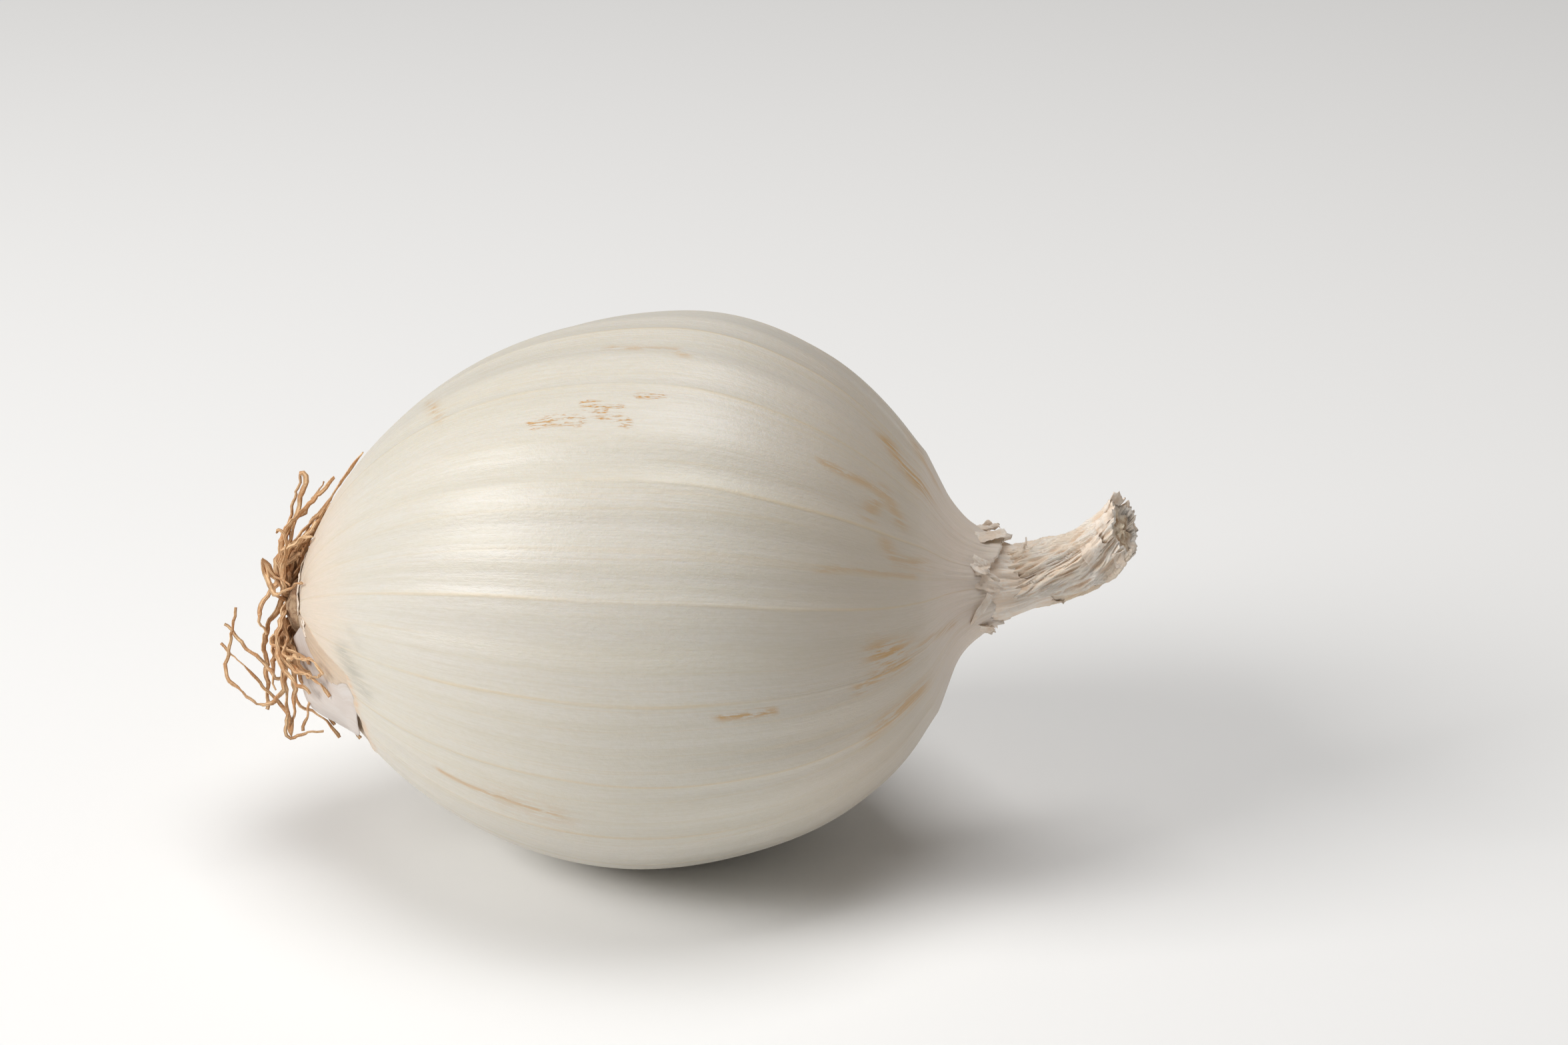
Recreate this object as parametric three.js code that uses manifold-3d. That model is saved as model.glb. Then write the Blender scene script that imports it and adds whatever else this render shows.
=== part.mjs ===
// A white onion, pulled and dried, lying on its side on a small flat spot.
// Millimetres, +Z up. The origin is the middle of the flat spot, and +X runs from the roots to the neck.
// Every piece is shaped in the bulb's own frame: x along the bulb's axis from its widest place,
// y and z across it. The whole onion is then tipped neck up and set on the ground.

import * as THREE from "three";
import { mergeVertices } from "three/addons/utils/BufferGeometryUtils.js";
import Module from "manifold-3d";

// The bulb
const BELLY_RADIUS = 40;
const ROOT_LENGTH = 53; // widest place to the root end
const CROWN_LENGTH = 44.3; // widest place to where the round shoulder would close
const ROOT_FULLNESS = 0.65; // 0.5 is round, more is a straighter cone
const SHOULDER_POWER = 2.15;
const AXIS_PITCH = THREE.MathUtils.degToRad(5); // the neck end lies higher
const FLAT_DEPTH = 0.4; // how far the flat spot cuts into the round of the belly
const VEIN_TWIST = THREE.MathUtils.degToRad(0.165); // turn of the veins for each mm of axis

// The torn mouth of the skin, and the neck that comes out of it
const COLLAR_RADIUS = 6.6;
const COLLAR_FLARE = 1.9; // how much wider the collar is where it leaves the shoulder
const COLLAR_BLEND = 6;
const MOUTH_X = 48.2;
const MOUTH_WALL = 0.9;
const SOCKET_RADIUS = 5.1;
const SOCKET_X = 43;
const NECK_RADIUS = 4.7;
const NECK_SUNK_RADIUS = 4.25;
const NECK_TAPER = 1.25;

// The root end
const PLATE_RADIUS = 4.5;
const PLATE_GAP = 0.4;
const PLATE_BACK = -49.7;
const PLATE_FACE = -53.2;
const ROOT_RADIUS = 0.64;
const ROOT_STEM_RADIUS = 0.5;
const ROOT_TIP_RADIUS = 0.42;
const ROOT_CLEARANCE = 1.9;
const LOOSE_SKIN_THICKNESS = 0.7;

// The side that the root and skin sketches are drawn from, a little above the horizontal
const SKETCH_RISE = THREE.MathUtils.degToRad(24);

const wasm = await Module();
wasm.setup();

// Plain maths

const lerp = THREE.MathUtils.lerp;
const smoothstep = THREE.MathUtils.smoothstep;
const turn = (degrees) => THREE.MathUtils.degToRad(degrees);

function bump(x, middle, width) {
  return Math.exp(-(((x - middle) / width) ** 2));
}

function softMax(a, b, blend) {
  const near = Math.max(blend - Math.abs(a - b), 0) / blend;
  return Math.max(a, b) + (near * near * blend) / 4;
}

// A small repeatable draw of numbers from 0 to 1.
function drawFrom(seed) {
  let state = seed >>> 0;
  return () => {
    state = (Math.imul(state, 1664525) + 1013904223) >>> 0;
    return state / 4294967296;
  };
}

// Meshes

// A closed skin over rings of points with equal counts. The first and last rings shrink to a point.
function skinOver(rings) {
  const count = rings[0].length;
  const middle = (ring) =>
    ring.reduce((sum, p) => sum.add(p), new THREE.Vector3()).divideScalar(count);
  const points = [middle(rings[0]), ...rings.flat(), middle(rings.at(-1))];
  const faces = [];
  const at = (ring, i) => 1 + ring * count + (i % count);
  for (let i = 0; i < count; i++) {
    faces.push(0, at(0, i + 1), at(0, i));
    faces.push(points.length - 1, at(rings.length - 1, i), at(rings.length - 1, i + 1));
    for (let ring = 0; ring + 1 < rings.length; ring++) {
      const [a, b] = [at(ring, i), at(ring, i + 1)];
      const [c, d] = [at(ring + 1, i), at(ring + 1, i + 1)];
      faces.push(a, b, c, b, d, c);
    }
  }
  const geometry = new THREE.BufferGeometry().setFromPoints(points);
  geometry.setIndex(faces);
  return geometry;
}

// A closed sheet over a grid of corners, with an outer face, an inner face and an edge all round.
// Both faces are split along the same diagonals.
function sheetOver(corner, along, round) {
  const points = [];
  const faces = [];
  const at = (side, i, j) => (side * (along + 1) + i) * (round + 1) + j;
  const quad = (a, b, c, d) => faces.push(a, b, c, b, d, c);
  for (const side of [0, 1]) {
    for (let i = 0; i <= along; i++) {
      for (let j = 0; j <= round; j++) points.push(corner(i, j, side));
    }
  }
  for (let i = 0; i < along; i++) {
    for (let j = 0; j < round; j++) {
      quad(at(1, i, j), at(1, i, j + 1), at(1, i + 1, j), at(1, i + 1, j + 1));
      quad(at(0, i + 1, j + 1), at(0, i, j + 1), at(0, i + 1, j), at(0, i, j));
    }
    quad(at(1, i, round), at(0, i, round), at(1, i + 1, round), at(0, i + 1, round));
    quad(at(0, i, 0), at(1, i, 0), at(0, i + 1, 0), at(1, i + 1, 0));
  }
  for (let j = 0; j < round; j++) {
    quad(at(0, 0, j), at(0, 0, j + 1), at(1, 0, j), at(1, 0, j + 1));
    quad(at(1, along, j), at(1, along, j + 1), at(0, along, j), at(0, along, j + 1));
  }
  const geometry = new THREE.BufferGeometry().setFromPoints(points);
  geometry.setIndex(faces);
  return geometry;
}

function solidOf(geometry) {
  const bare = geometry.clone();
  bare.deleteAttribute("normal");
  bare.deleteAttribute("uv");
  const merged = mergeVertices(bare, 1e-4);
  return new wasm.Manifold(
    new wasm.Mesh({
      numProp: 3,
      vertProperties: merged.attributes.position.array,
      triVerts: new Uint32Array(merged.index.array),
    }),
  );
}

function geometryOf(solid) {
  const mesh = solid.getMesh();
  const geometry = new THREE.BufferGeometry();
  geometry.setAttribute("position", new THREE.BufferAttribute(mesh.vertProperties, 3));
  geometry.setIndex(new THREE.BufferAttribute(mesh.triVerts, 1));
  return geometry;
}

function piece(name, geometry, colour, roughness) {
  const faceted = geometry.index ? geometry.toNonIndexed() : geometry;
  faceted.computeVertexNormals();
  const material = new THREE.MeshStandardMaterial({ color: colour, roughness, metalness: 0 });
  const mesh = new THREE.Mesh(faceted, material);
  mesh.name = name;
  return mesh;
}

// The bulb's form

// Distance from the axis to the skin: a blunt cone to the roots, a full shoulder to the neck.
function bulbRadius(x) {
  if (x < 0) {
    const t = Math.min(-x / ROOT_LENGTH, 1);
    return BELLY_RADIUS * (1 - t * t) ** ROOT_FULLNESS;
  }
  const t = Math.min(x / CROWN_LENGTH, 1);
  const shoulder = BELLY_RADIUS * Math.sqrt(1 - t ** SHOULDER_POWER);
  const flare = COLLAR_FLARE * Math.exp((CROWN_LENGTH - 0.8 - Math.max(x, 40)) / 2.2);
  return softMax(shoulder, COLLAR_RADIUS + flare, COLLAR_BLEND);
}

// The place along the axis where the root half has this radius.
function rootConeX(radius) {
  const share = Math.min(radius / BELLY_RADIUS, 1) ** (1 / ROOT_FULLNESS);
  return -ROOT_LENGTH * Math.sqrt(1 - share);
}

// The axis isn't quite straight: it rises past the widest place and droops towards the neck.
function axisSag(x) {
  return 0.8 * bump(x, 13, 13) - 0.6 * smoothstep(x, 27, 38);
}

// Low ribs between the veins, with the slow lobes of a bulb that isn't quite round.
function ribs(angle) {
  const veins = 0.24 * Math.cos(18 * angle + 0.8 * Math.sin(3 * angle));
  const between = 0.13 * Math.cos(31 * angle + 1.3);
  const lobes = 0.3 * Math.cos(3 * angle + 0.5) + 0.2 * Math.cos(5 * angle + 2);
  return veins + between + lobes;
}

function onBulb(x, angle, radius) {
  const turned = angle + VEIN_TWIST * x;
  return new THREE.Vector3(
    x,
    radius * Math.cos(turned),
    radius * Math.sin(turned) + axisSag(x),
  );
}

// Torn flaps of the dry outer skin round the neck: where, how wide, how far they reach and lift.
const MOUTH_FLAPS = [
  { at: 78, width: 26, reach: 3.6, lift: 0.8 },
  { at: 118, width: 18, reach: 1.6, lift: 1.1 },
  { at: 158, width: 9, reach: 2.6, lift: 1.9 },
  { at: 196, width: 12, reach: 0.8, lift: 0.4 },
  { at: 236, width: 14, reach: 2.0, lift: 0.7 },
  { at: 292, width: 20, reach: 2.6, lift: 1.4 },
  { at: 352, width: 16, reach: 1.8, lift: 1.8 },
];

function mouthFlap(angle, size) {
  const degrees = THREE.MathUtils.radToDeg(angle + VEIN_TWIST * MOUTH_X);
  return MOUTH_FLAPS.reduce((sum, flap) => {
    const apart = THREE.MathUtils.euclideanModulo(degrees - flap.at + 180, 360) - 180;
    return sum + flap[size] * bump(apart, 0, flap.width);
  }, 0);
}

function makeBulb() {
  const sides = 72;
  const rings = 26;
  const pocketRadius = PLATE_RADIUS + PLATE_GAP;
  const pocketFloor = PLATE_BACK + PLATE_GAP;
  const rimX = rootConeX(pocketRadius);
  const collarX = 44;
  const tear = drawFrom(7);
  const angles = Array.from({ length: sides }, (_, i) => (i / sides) * 2 * Math.PI);
  const ragged = angles.map(() => 0.7 * tear());
  const ring = (point) => angles.map(point);
  const built = [
    ring((angle) => onBulb(pocketFloor, angle, pocketRadius / 2)),
    ring((angle) => onBulb(pocketFloor, angle, pocketRadius)),
  ];
  for (let i = 0; i <= rings; i++) {
    const share = (1 - Math.cos((Math.PI * i) / rings)) / 2;
    const x = lerp(rimX, collarX, share);
    const ribbed = smoothstep(bulbRadius(x), pocketRadius, BELLY_RADIUS);
    built.push(ring((angle) => onBulb(x, angle, bulbRadius(x) + ribbed * ribs(angle))));
  }
  const mouthSteps = 5;
  for (let i = 1; i <= mouthSteps; i++) {
    const share = i / mouthSteps;
    built.push(
      ring((angle, n) => {
        const end = MOUTH_X + mouthFlap(angle, "reach") + ragged[n];
        const x = lerp(collarX, end, share);
        const lifted = mouthFlap(angle, "lift") * share * share;
        return onBulb(x, angle, bulbRadius(x) - 0.3 * share + lifted);
      }),
    );
  }
  built.push(
    ring((angle, n) => {
      const end = MOUTH_X + mouthFlap(angle, "reach") + ragged[n];
      const lifted = mouthFlap(angle, "lift");
      return onBulb(end - 0.2, angle, bulbRadius(end) - 0.3 - MOUTH_WALL + lifted);
    }),
    ring((angle) => onBulb(MOUTH_X - 0.8, angle, SOCKET_RADIUS + 0.1)),
    ring((angle) => onBulb(SOCKET_X, angle, SOCKET_RADIUS)),
  );
  return skinOver(built);
}

// The way down and the way forward once the onion lies on the ground, in the bulb's own frame.
const DOWN = new THREE.Vector3(-Math.sin(AXIS_PITCH), 0, -Math.cos(AXIS_PITCH));
const FORWARD = new THREE.Vector3(Math.cos(AXIS_PITCH), 0, -Math.sin(AXIS_PITCH));

// The bulb with its flat spot, and the middle of that spot in the bulb's own frame.
function flattened(geometry) {
  const point = new THREE.Vector3();
  const lowest = new THREE.Vector3();
  const corners = geometry.attributes.position;
  for (let i = 0; i < corners.count; i++) {
    point.fromBufferAttribute(corners, i);
    if (point.dot(DOWN) > lowest.dot(DOWN)) lowest.copy(point);
  }
  const depth = lowest.dot(DOWN) - FLAT_DEPTH;
  const block = new THREE.BoxGeometry(60, 60, 10);
  block.rotateY(AXIS_PITCH);
  const middle = DOWN.clone().multiplyScalar(depth + 5);
  block.translate(middle.x, middle.y, middle.z);
  const cut = geometryOf(solidOf(geometry).subtract(solidOf(block)));
  const spot = new THREE.Box3();
  const cutCorners = cut.attributes.position;
  for (let i = 0; i < cutCorners.count; i++) {
    point.fromBufferAttribute(cutCorners, i);
    if (Math.abs(point.dot(DOWN) - depth) > 1e-3) continue;
    spot.expandByPoint(new THREE.Vector3(point.dot(FORWARD), point.y, 0));
  }
  const centre = spot.getCenter(new THREE.Vector3());
  return { cut, depth, forward: centre.x, side: centre.y };
}

// The neck

// The neck's middle line, in x and z: out of the mouth, then curling up to the cut end.
const NECK_LINE = [
  [SOCKET_X + 0.4, -0.6],
  [47, -0.65],
  [51, -0.7],
  [56, 0.1],
  [61, 1.3],
  [65, 3.4],
  [68.2, 6.1],
];

// Deep folds of the shrunken leaf sheaths, which wind a little round the neck.
function neckFolds(angle, share) {
  const wound = angle + 1.1 * share;
  return (
    0.3 * Math.cos(5 * wound + 0.6) +
    0.22 * Math.cos(9 * wound - 2.2 * share) +
    0.14 * Math.cos(12 * wound + 2.5 * share)
  );
}

// The cut runs slantwise: forward at the top and on the far side, back below.
function neckSlant(angle, radius) {
  return 0.45 * radius * Math.cos(angle - 0.7);
}

function makeNeck() {
  const sides = 40;
  const steps = 21;
  const line = new THREE.CatmullRomCurve3(
    NECK_LINE.map(([x, z]) => new THREE.Vector3(x, 0, z)),
  );
  const across = new THREE.Vector3(0, 1, 0);
  const coreDepth = 1.3;
  const coreRadius = 2.3;
  const tear = drawFrom(19);
  const angles = Array.from({ length: sides }, (_, i) => (i / sides) * 2 * Math.PI);
  const ragged = angles.map((angle) => 0.5 * Math.cos(3 * angle + 0.4) + 0.9 * tear());
  const ringAt = (share, radius, push = () => 0) => {
    const middle = line.getPointAt(share);
    const ahead = line.getTangentAt(share);
    const over = new THREE.Vector3().crossVectors(ahead, across).normalize();
    return angles.map((angle, n) => {
      const reach = radius(angle);
      return middle
        .clone()
        .addScaledVector(across, reach * Math.cos(angle))
        .addScaledVector(over, reach * Math.sin(angle))
        .addScaledVector(ahead, push(n) + smoothstep(share, 0.6, 1) * neckSlant(angle, reach));
    });
  };
  const sheath = (share) => (angle) => {
    const free = smoothstep(share, 0.2, 0.42);
    const swollen = lerp(NECK_SUNK_RADIUS, NECK_RADIUS, free) - NECK_TAPER * smoothstep(share, 0.5, 1);
    const sheathEdge = 0.35 * bump(angle / Math.PI, 0.9 + 0.5 * share, 0.12);
    return swollen + free * (neckFolds(angle, share) + sheathEdge);
  };
  const built = [ringAt(0, () => NECK_SUNK_RADIUS / 2)];
  for (let i = 0; i <= steps; i++) built.push(ringAt(i / steps, sheath(i / steps)));
  built.push(
    ringAt(1, sheath(1), (n) => 0.4 + ragged[n]),
    ringAt(
      1,
      (angle) => sheath(1)(angle) - MOUTH_WALL,
      (n) => 0.2 + ragged[n] * 0.8,
    ),
    ringAt(
      1,
      () => coreRadius,
      () => 0.2 - coreDepth,
    ),
    ringAt(
      1,
      () => coreRadius / 2,
      () => 0.5 - coreDepth,
    ),
  );
  return skinOver(built);
}

// The roots

// A point of a sketch of the root end: along the axis, up the page, and out of the page.
function fromSketch(x, up, out) {
  const [rise, run] = [Math.sin(SKETCH_RISE), Math.cos(SKETCH_RISE)];
  return new THREE.Vector3(x, rise * up - run * out, run * up + rise * out);
}

// The roots that stand out in the tuft, from just off the plate to the tip.
// The upper bunch lies back on the bulb, and one root of it loops.
const UPPER_ROOTS = [
  [[-52.5, 5.5, 1], [-49.3, 11, 1.5], [-46.6, 14, 2], [-43.7, 18.8, 2.6], [-40.7, 22, 3.4]],
  [[-53, 7, 1], [-50, 12, 2], [-47.5, 15, 2], [-43.4, 19.2, 1]],
  [[-54.4, 6, 3], [-53.6, 10.7, 3.6], [-48.7, 16, 3.4], [-46, 18.6, 3.6]],
  [[-54.4, 6.6, 0], [-53.7, 11.6, 0.4], [-51.2, 13.8, 0.6], [-48.4, 18, 0]],
  [[-54.6, 6, -1], [-53.6, 12, 0], [-52.6, 17.4, 0], [-51.3, 19.6, 0.6], [-51, 17.6, 1.4], [-52.3, 13, 2]],
];

// The roots in front of the plate bend over and lie across each other.
const FRONT_ROOTS = [
  [[-54, 5, 4], [-53, 8, 5.2], [-50.6, 9.8, 7.2], [-48.2, 10, 9.4]],
  [[-55, 3.4, 2.2], [-57.3, 7, 3.4], [-56.2, 4, 5], [-53.4, 2.4, 6.6], [-49.6, 3.4, 10.8]],
  [[-55.4, 2.4, 4], [-56.4, 6.8, 4.4], [-54.6, 5.2, 5.4], [-52.4, 3.2, 6.2]],
  [[-54.2, 4, 4.6], [-53.8, 9.5, 5.4], [-54.4, 12, 5], [-55.6, 10.2, 4.4]],
  [[-55.4, 4.2, 0.4], [-57.7, 1.3, 1], [-58.5, -1.4, 1.4], [-57.4, -4.4, 1]],
  [[-55.8, 0.4, -0.6], [-57.8, -4, 0], [-58, -9, 0.6], [-58, -14.7, 1]],
  [[-55.4, -2.2, 1.8], [-56.4, -8.3, 2.4], [-55.4, -12.6, 3]],
  [[-55.2, -4.6, 4.4], [-54.7, -8.2, 6], [-52.4, -10.8, 7], [-50, -12.3, 7.4]],
];

// The lower bunch hangs, and its longest roots curl back up.
const LOWER_ROOTS = [
  [[-54.4, -4, 3.8], [-54.2, -11.5, 4.6], [-54.6, -18.8, 4], [-52, -18.5, 3.6], [-49.2, -17.8, 3.4]],
  [[-54, -10, 5.4], [-56.5, -13.6, 5.6], [-59.6, -12.6, 5], [-62.4, -10, 5], [-62.6, -6, 4.4], [-61.2, 0, 4]],
  [[-54.4, -8, 1.6], [-55.6, -10.6, 2.4], [-59.3, -6.6, 3], [-63, -2, 3]],
  [[-53.8, -10, 0.6], [-54.8, -18.4, 0.6], [-56.6, -13.4, 1.2], [-60.6, -8.7, 1.8], [-64, -4.6, 2]],
  [[-53.8, -6, -1], [-52, -12, -1.6], [-48.9, -17.6, -2]],
  [[-53.4, -7, 3], [-52.6, -13, 3.6], [-52.8, -17.7, 3]],
  [[-54.2, -9, -0.6], [-52.6, -15, -1], [-48, -19.4, -1.4]],
  [[-53.6, -7, -4], [-50, -14, -6], [-46.2, -19.7, -7]],
];

const FILLER_ROOTS = 17;

// The rest of the tuft: two loose bunches, above and below, and a few all round.
function fillerRoot(draw) {
  const side = draw();
  const bunch = side < 0.36 ? 66 : side < 0.74 ? 246 : 360 * draw();
  const angle = turn(bunch + 74 * (draw() - 0.5));
  const reach = lerp(9, 19, draw());
  const arch = lerp(1.5, 5.5, draw());
  const sway = 1.1 * (draw() - 0.5);
  const wave = lerp(2, 5, draw());
  const points = [];
  const steps = 5;
  for (let i = 1; i <= steps; i++) {
    const share = i / steps;
    const radius = lerp(PLATE_RADIUS / 2, reach, share);
    const swung = angle + sway * share + 0.16 * share * Math.sin(wave * share * 3);
    const height = arch * Math.sin(Math.PI * Math.min(1, share * 1.1)) + 0.6;
    const x = Math.min(rootConeX(radius), -45 - 8 * (1 - share)) - height;
    points.push(new THREE.Vector3(x, radius * Math.cos(swung), radius * Math.sin(swung)));
  }
  return points;
}

// Keeps a root clear of the bulb, and of the loose skin under the tuft.
function clearOfSkin(point) {
  const radius = Math.hypot(point.y, point.z);
  const angle = Math.atan2(point.z, point.y);
  const surface = Math.min(rootConeX(radius), looseSkinX(radius, angle));
  const limit = radius < PLATE_RADIUS ? PLATE_FACE - 0.2 : surface - ROOT_CLEARANCE;
  point.x = Math.min(point.x, limit);
}

// Moves points apart until each pair is this far away, with the moves across the sketch kept smaller
// than the moves into it. Points of one root don't push each other.
function spreadOut(points, apart, rounds, settle) {
  const out = fromSketch(0, 0, 1);
  const way = new THREE.Vector3();
  for (let round = 0; round < rounds; round++) {
    for (let a = 0; a < points.length; a++) {
      for (let b = a + 1; b < points.length; b++) {
        if (points[a].root === points[b].root) continue;
        way.subVectors(points[b].place, points[a].place);
        const distance = way.length();
        if (distance > apart) continue;
        const into = way.dot(out);
        way.addScaledVector(out, (into < 0 ? -1 : 1) * 0.6);
        way.setLength((apart - distance) / 2);
        points[a].place.sub(way);
        points[b].place.add(way);
      }
    }
    points.forEach(settle);
  }
}

function makeRoot(points) {
  const sides = 4;
  const steps = points.length - 1;
  const line = new THREE.CatmullRomCurve3(points);
  const frames = line.computeFrenetFrames(steps, false);
  const rings = [];
  for (let i = 0; i <= steps; i++) {
    const share = i / steps;
    const swollen = lerp(ROOT_STEM_RADIUS, ROOT_RADIUS, smoothstep(share, 0, 0.2));
    const radius = swollen - (ROOT_RADIUS - ROOT_TIP_RADIUS) * smoothstep(share, 0.3, 1);
    const middle = points[i];
    const ring = [];
    for (let side = 0; side < sides; side++) {
      const angle = (side / sides) * 2 * Math.PI;
      ring.push(
        middle
          .clone()
          .addScaledVector(frames.normals[i], radius * Math.cos(angle))
          .addScaledVector(frames.binormals[i], radius * Math.sin(angle)),
      );
    }
    rings.push(ring);
  }
  return skinOver(rings);
}

function makeRootTuft() {
  const sides = 20;
  const ringAt = (x, radius) =>
    Array.from({ length: sides }, (_, i) => {
      const angle = (i / sides) * 2 * Math.PI;
      return new THREE.Vector3(x, radius * Math.cos(angle), radius * Math.sin(angle));
    });
  const plate = skinOver([
    ringAt(PLATE_FACE - 1.1, PLATE_RADIUS * 0.5),
    ringAt(PLATE_FACE, PLATE_RADIUS * 0.86),
    ringAt(PLATE_FACE + 1, PLATE_RADIUS),
    ringAt(PLATE_BACK, PLATE_RADIUS),
    ringAt(PLATE_BACK, PLATE_RADIUS / 2),
  ]);
  const leading = [...UPPER_ROOTS, ...FRONT_ROOTS, ...LOWER_ROOTS];
  const lines = leading.map((root) => root.map((point) => fromSketch(...point)));
  const draw = drawFrom(43);
  for (let i = 0; i < FILLER_ROOTS; i++) lines.push(fillerRoot(draw));

  // Each root leaves the plate at a place of its own and stands out of it before it bends away.
  const starts = lines.map((line, root) => ({ root, place: line[0].clone().multiplyScalar(0.4) }));
  spreadOut(starts, 1.06, 200, ({ place }) => {
    const inside = Math.min(1, (PLATE_RADIUS - 0.8) / Math.hypot(place.y, place.z));
    place.set(PLATE_FACE + 1.2, place.y * inside, place.z * inside);
  });
  lines.forEach((line, root) => {
    const { place } = starts[root];
    line.unshift(place, new THREE.Vector3(PLATE_FACE - 0.8, 1.1 * place.y, 1.1 * place.z));
  });

  const bends = lines.flatMap((line, root) => {
    const curve = new THREE.CatmullRomCurve3(line);
    const steps = 3 * Math.max(5, Math.round(curve.getLength() / 3.4));
    return curve.getSpacedPoints(steps).map((place, n) => ({ root, n, place }));
  });
  const free = bends.filter(({ n }) => n > 1);
  spreadOut(free, 1.5, 40, ({ place }) => clearOfSkin(place));

  const solids = lines.map((_, root) => {
    const own = bends.filter((bend) => bend.root === root && bend.n % 3 === 0);
    return solidOf(makeRoot(own.map(({ place }) => place)));
  });
  return geometryOf(solids.reduce((tuft, root) => tuft.add(root), solidOf(plate)));
}

// The loose skin: a torn strip of the outermost skin that still hangs from the root plate,
// close to the bulb on one side and lifted from it on the other.
const STRIP_INNER_RADIUS = 5.6;
const STRIP_OUTER_RADIUS = 18.6;
const STRIP_CORNER_RADIUS = 15.6;
const STRIP_NEAR_ANGLE = turn(193);
const STRIP_FAR_ANGLE = turn(266);
const STRIP_LIFT = 3;
const STRIP_REST_LIFT = 1.1;

function stripLift(radius, angle) {
  const out = smoothstep(radius, STRIP_INNER_RADIUS, 14);
  const round = smoothstep(angle, turn(200), turn(246));
  return STRIP_REST_LIFT + STRIP_LIFT * out * round * (1 - 0.35 * smoothstep(radius, 15, 19));
}

function looseSkinX(radius, angle) {
  const turned = THREE.MathUtils.euclideanModulo(angle, 2 * Math.PI);
  const inside =
    turned > STRIP_NEAR_ANGLE - 0.2 &&
    turned < STRIP_FAR_ANGLE + 0.2 &&
    radius < STRIP_OUTER_RADIUS + 2;
  if (!inside) return 0;
  return rootConeX(radius) - stripLift(radius, turned) - 2 * LOOSE_SKIN_THICKNESS;
}

function makeLooseSkin() {
  const along = 14;
  const round = 14;
  const tear = drawFrom(31);
  const nearTear = Array.from({ length: along + 1 }, () => 0.05 * (tear() - 0.5));
  const endTear = Array.from({ length: round + 1 }, () => 0.8 * (tear() - 0.5));
  const sheet = (i, j, side) => {
    const out = i / along;
    const share = j / round;
    const rounded = lerp(STRIP_CORNER_RADIUS, STRIP_OUTER_RADIUS, smoothstep(share, -0.1, 0.4));
    const radius = lerp(STRIP_INNER_RADIUS, rounded + endTear[j], out);
    const torn = turn(44) * (1 - smoothstep(radius, 7.5, 14));
    const near = STRIP_NEAR_ANGLE + torn + nearTear[i];
    const far = STRIP_FAR_ANGLE - turn(10) * smoothstep(out, 0.6, 1) - nearTear[along - i];
    const angle = lerp(near, far, share);
    const x = rootConeX(radius) - stripLift(radius, angle) - side * LOOSE_SKIN_THICKNESS;
    return new THREE.Vector3(x, radius * Math.cos(angle), radius * Math.sin(angle));
  };
  return sheetOver(sheet, along, round);
}

const bulb = flattened(makeBulb());
const onion = new THREE.Group();
onion.rotation.y = -AXIS_PITCH;
onion.position.set(-bulb.forward, -bulb.side, bulb.depth);
onion.add(
  piece("bulb", bulb.cut, 0xe8e4d8, 0.45),
  piece("neck", makeNeck(), 0xe6d6be, 0.75),
  piece("root_tuft", makeRootTuft(), 0xb8824e, 0.8),
  piece("loose_skin", makeLooseSkin(), 0xe6dedb, 0.6),
);

export default onion;
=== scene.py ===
import math
import random

import bpy
import numpy as np
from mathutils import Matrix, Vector
from mathutils import noise


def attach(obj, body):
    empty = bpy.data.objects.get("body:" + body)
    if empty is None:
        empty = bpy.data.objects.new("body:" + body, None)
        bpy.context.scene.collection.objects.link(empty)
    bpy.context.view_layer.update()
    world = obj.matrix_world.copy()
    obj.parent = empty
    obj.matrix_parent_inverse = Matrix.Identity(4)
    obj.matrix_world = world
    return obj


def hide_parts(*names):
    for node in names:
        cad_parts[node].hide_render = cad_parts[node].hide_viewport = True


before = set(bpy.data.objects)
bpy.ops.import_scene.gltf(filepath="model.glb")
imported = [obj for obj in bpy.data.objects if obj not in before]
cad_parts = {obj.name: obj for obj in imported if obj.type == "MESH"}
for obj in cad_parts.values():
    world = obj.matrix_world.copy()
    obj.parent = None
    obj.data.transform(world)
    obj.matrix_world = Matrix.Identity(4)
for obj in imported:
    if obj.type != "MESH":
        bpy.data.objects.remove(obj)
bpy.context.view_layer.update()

# A white onion, pulled and dried, lying on its side on a small flat spot of its belly, with the
# dry roots on the left and the shrunken neck on the right.


# The floor, the light and the camera

# A pale matt table top that the onion lies on, lit by a soft window high on the left and by a
# larger, weaker one straight above.

FLOOR_HALF = 3.0
FLOOR_DROP = 0.0001
TABLE_WHITE = (0.96, 0.96, 0.96, 1)
ROOM_WHITE = (1.0, 0.975, 0.95, 1)
ROOM_STRENGTH = 0.13
WINDOW_WHITE = (1.0, 0.99, 0.97)
SKY_WHITE = (1.0, 0.99, 0.975)
LIT_SPOT = (0, 0, 0.04)

floor_mesh = bpy.data.meshes.new("floor")
floor_mesh.from_pydata(
    [
        (-FLOOR_HALF, -FLOOR_HALF, -FLOOR_DROP),
        (FLOOR_HALF, -FLOOR_HALF, -FLOOR_DROP),
        (FLOOR_HALF, FLOOR_HALF, -FLOOR_DROP),
        (-FLOOR_HALF, FLOOR_HALF, -FLOOR_DROP),
    ],
    [],
    [(0, 1, 2, 3)],
)
floor = bpy.data.objects.new("floor", floor_mesh)
bpy.context.scene.collection.objects.link(floor)
floor_material = bpy.data.materials.new("pale_table")
floor_material.use_nodes = True
floor_shader = floor_material.node_tree.nodes["Principled BSDF"]
floor_shader.inputs["Base Color"].default_value = TABLE_WHITE
floor_shader.inputs["Roughness"].default_value = 0.7
floor_mesh.materials.append(floor_material)

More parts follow.
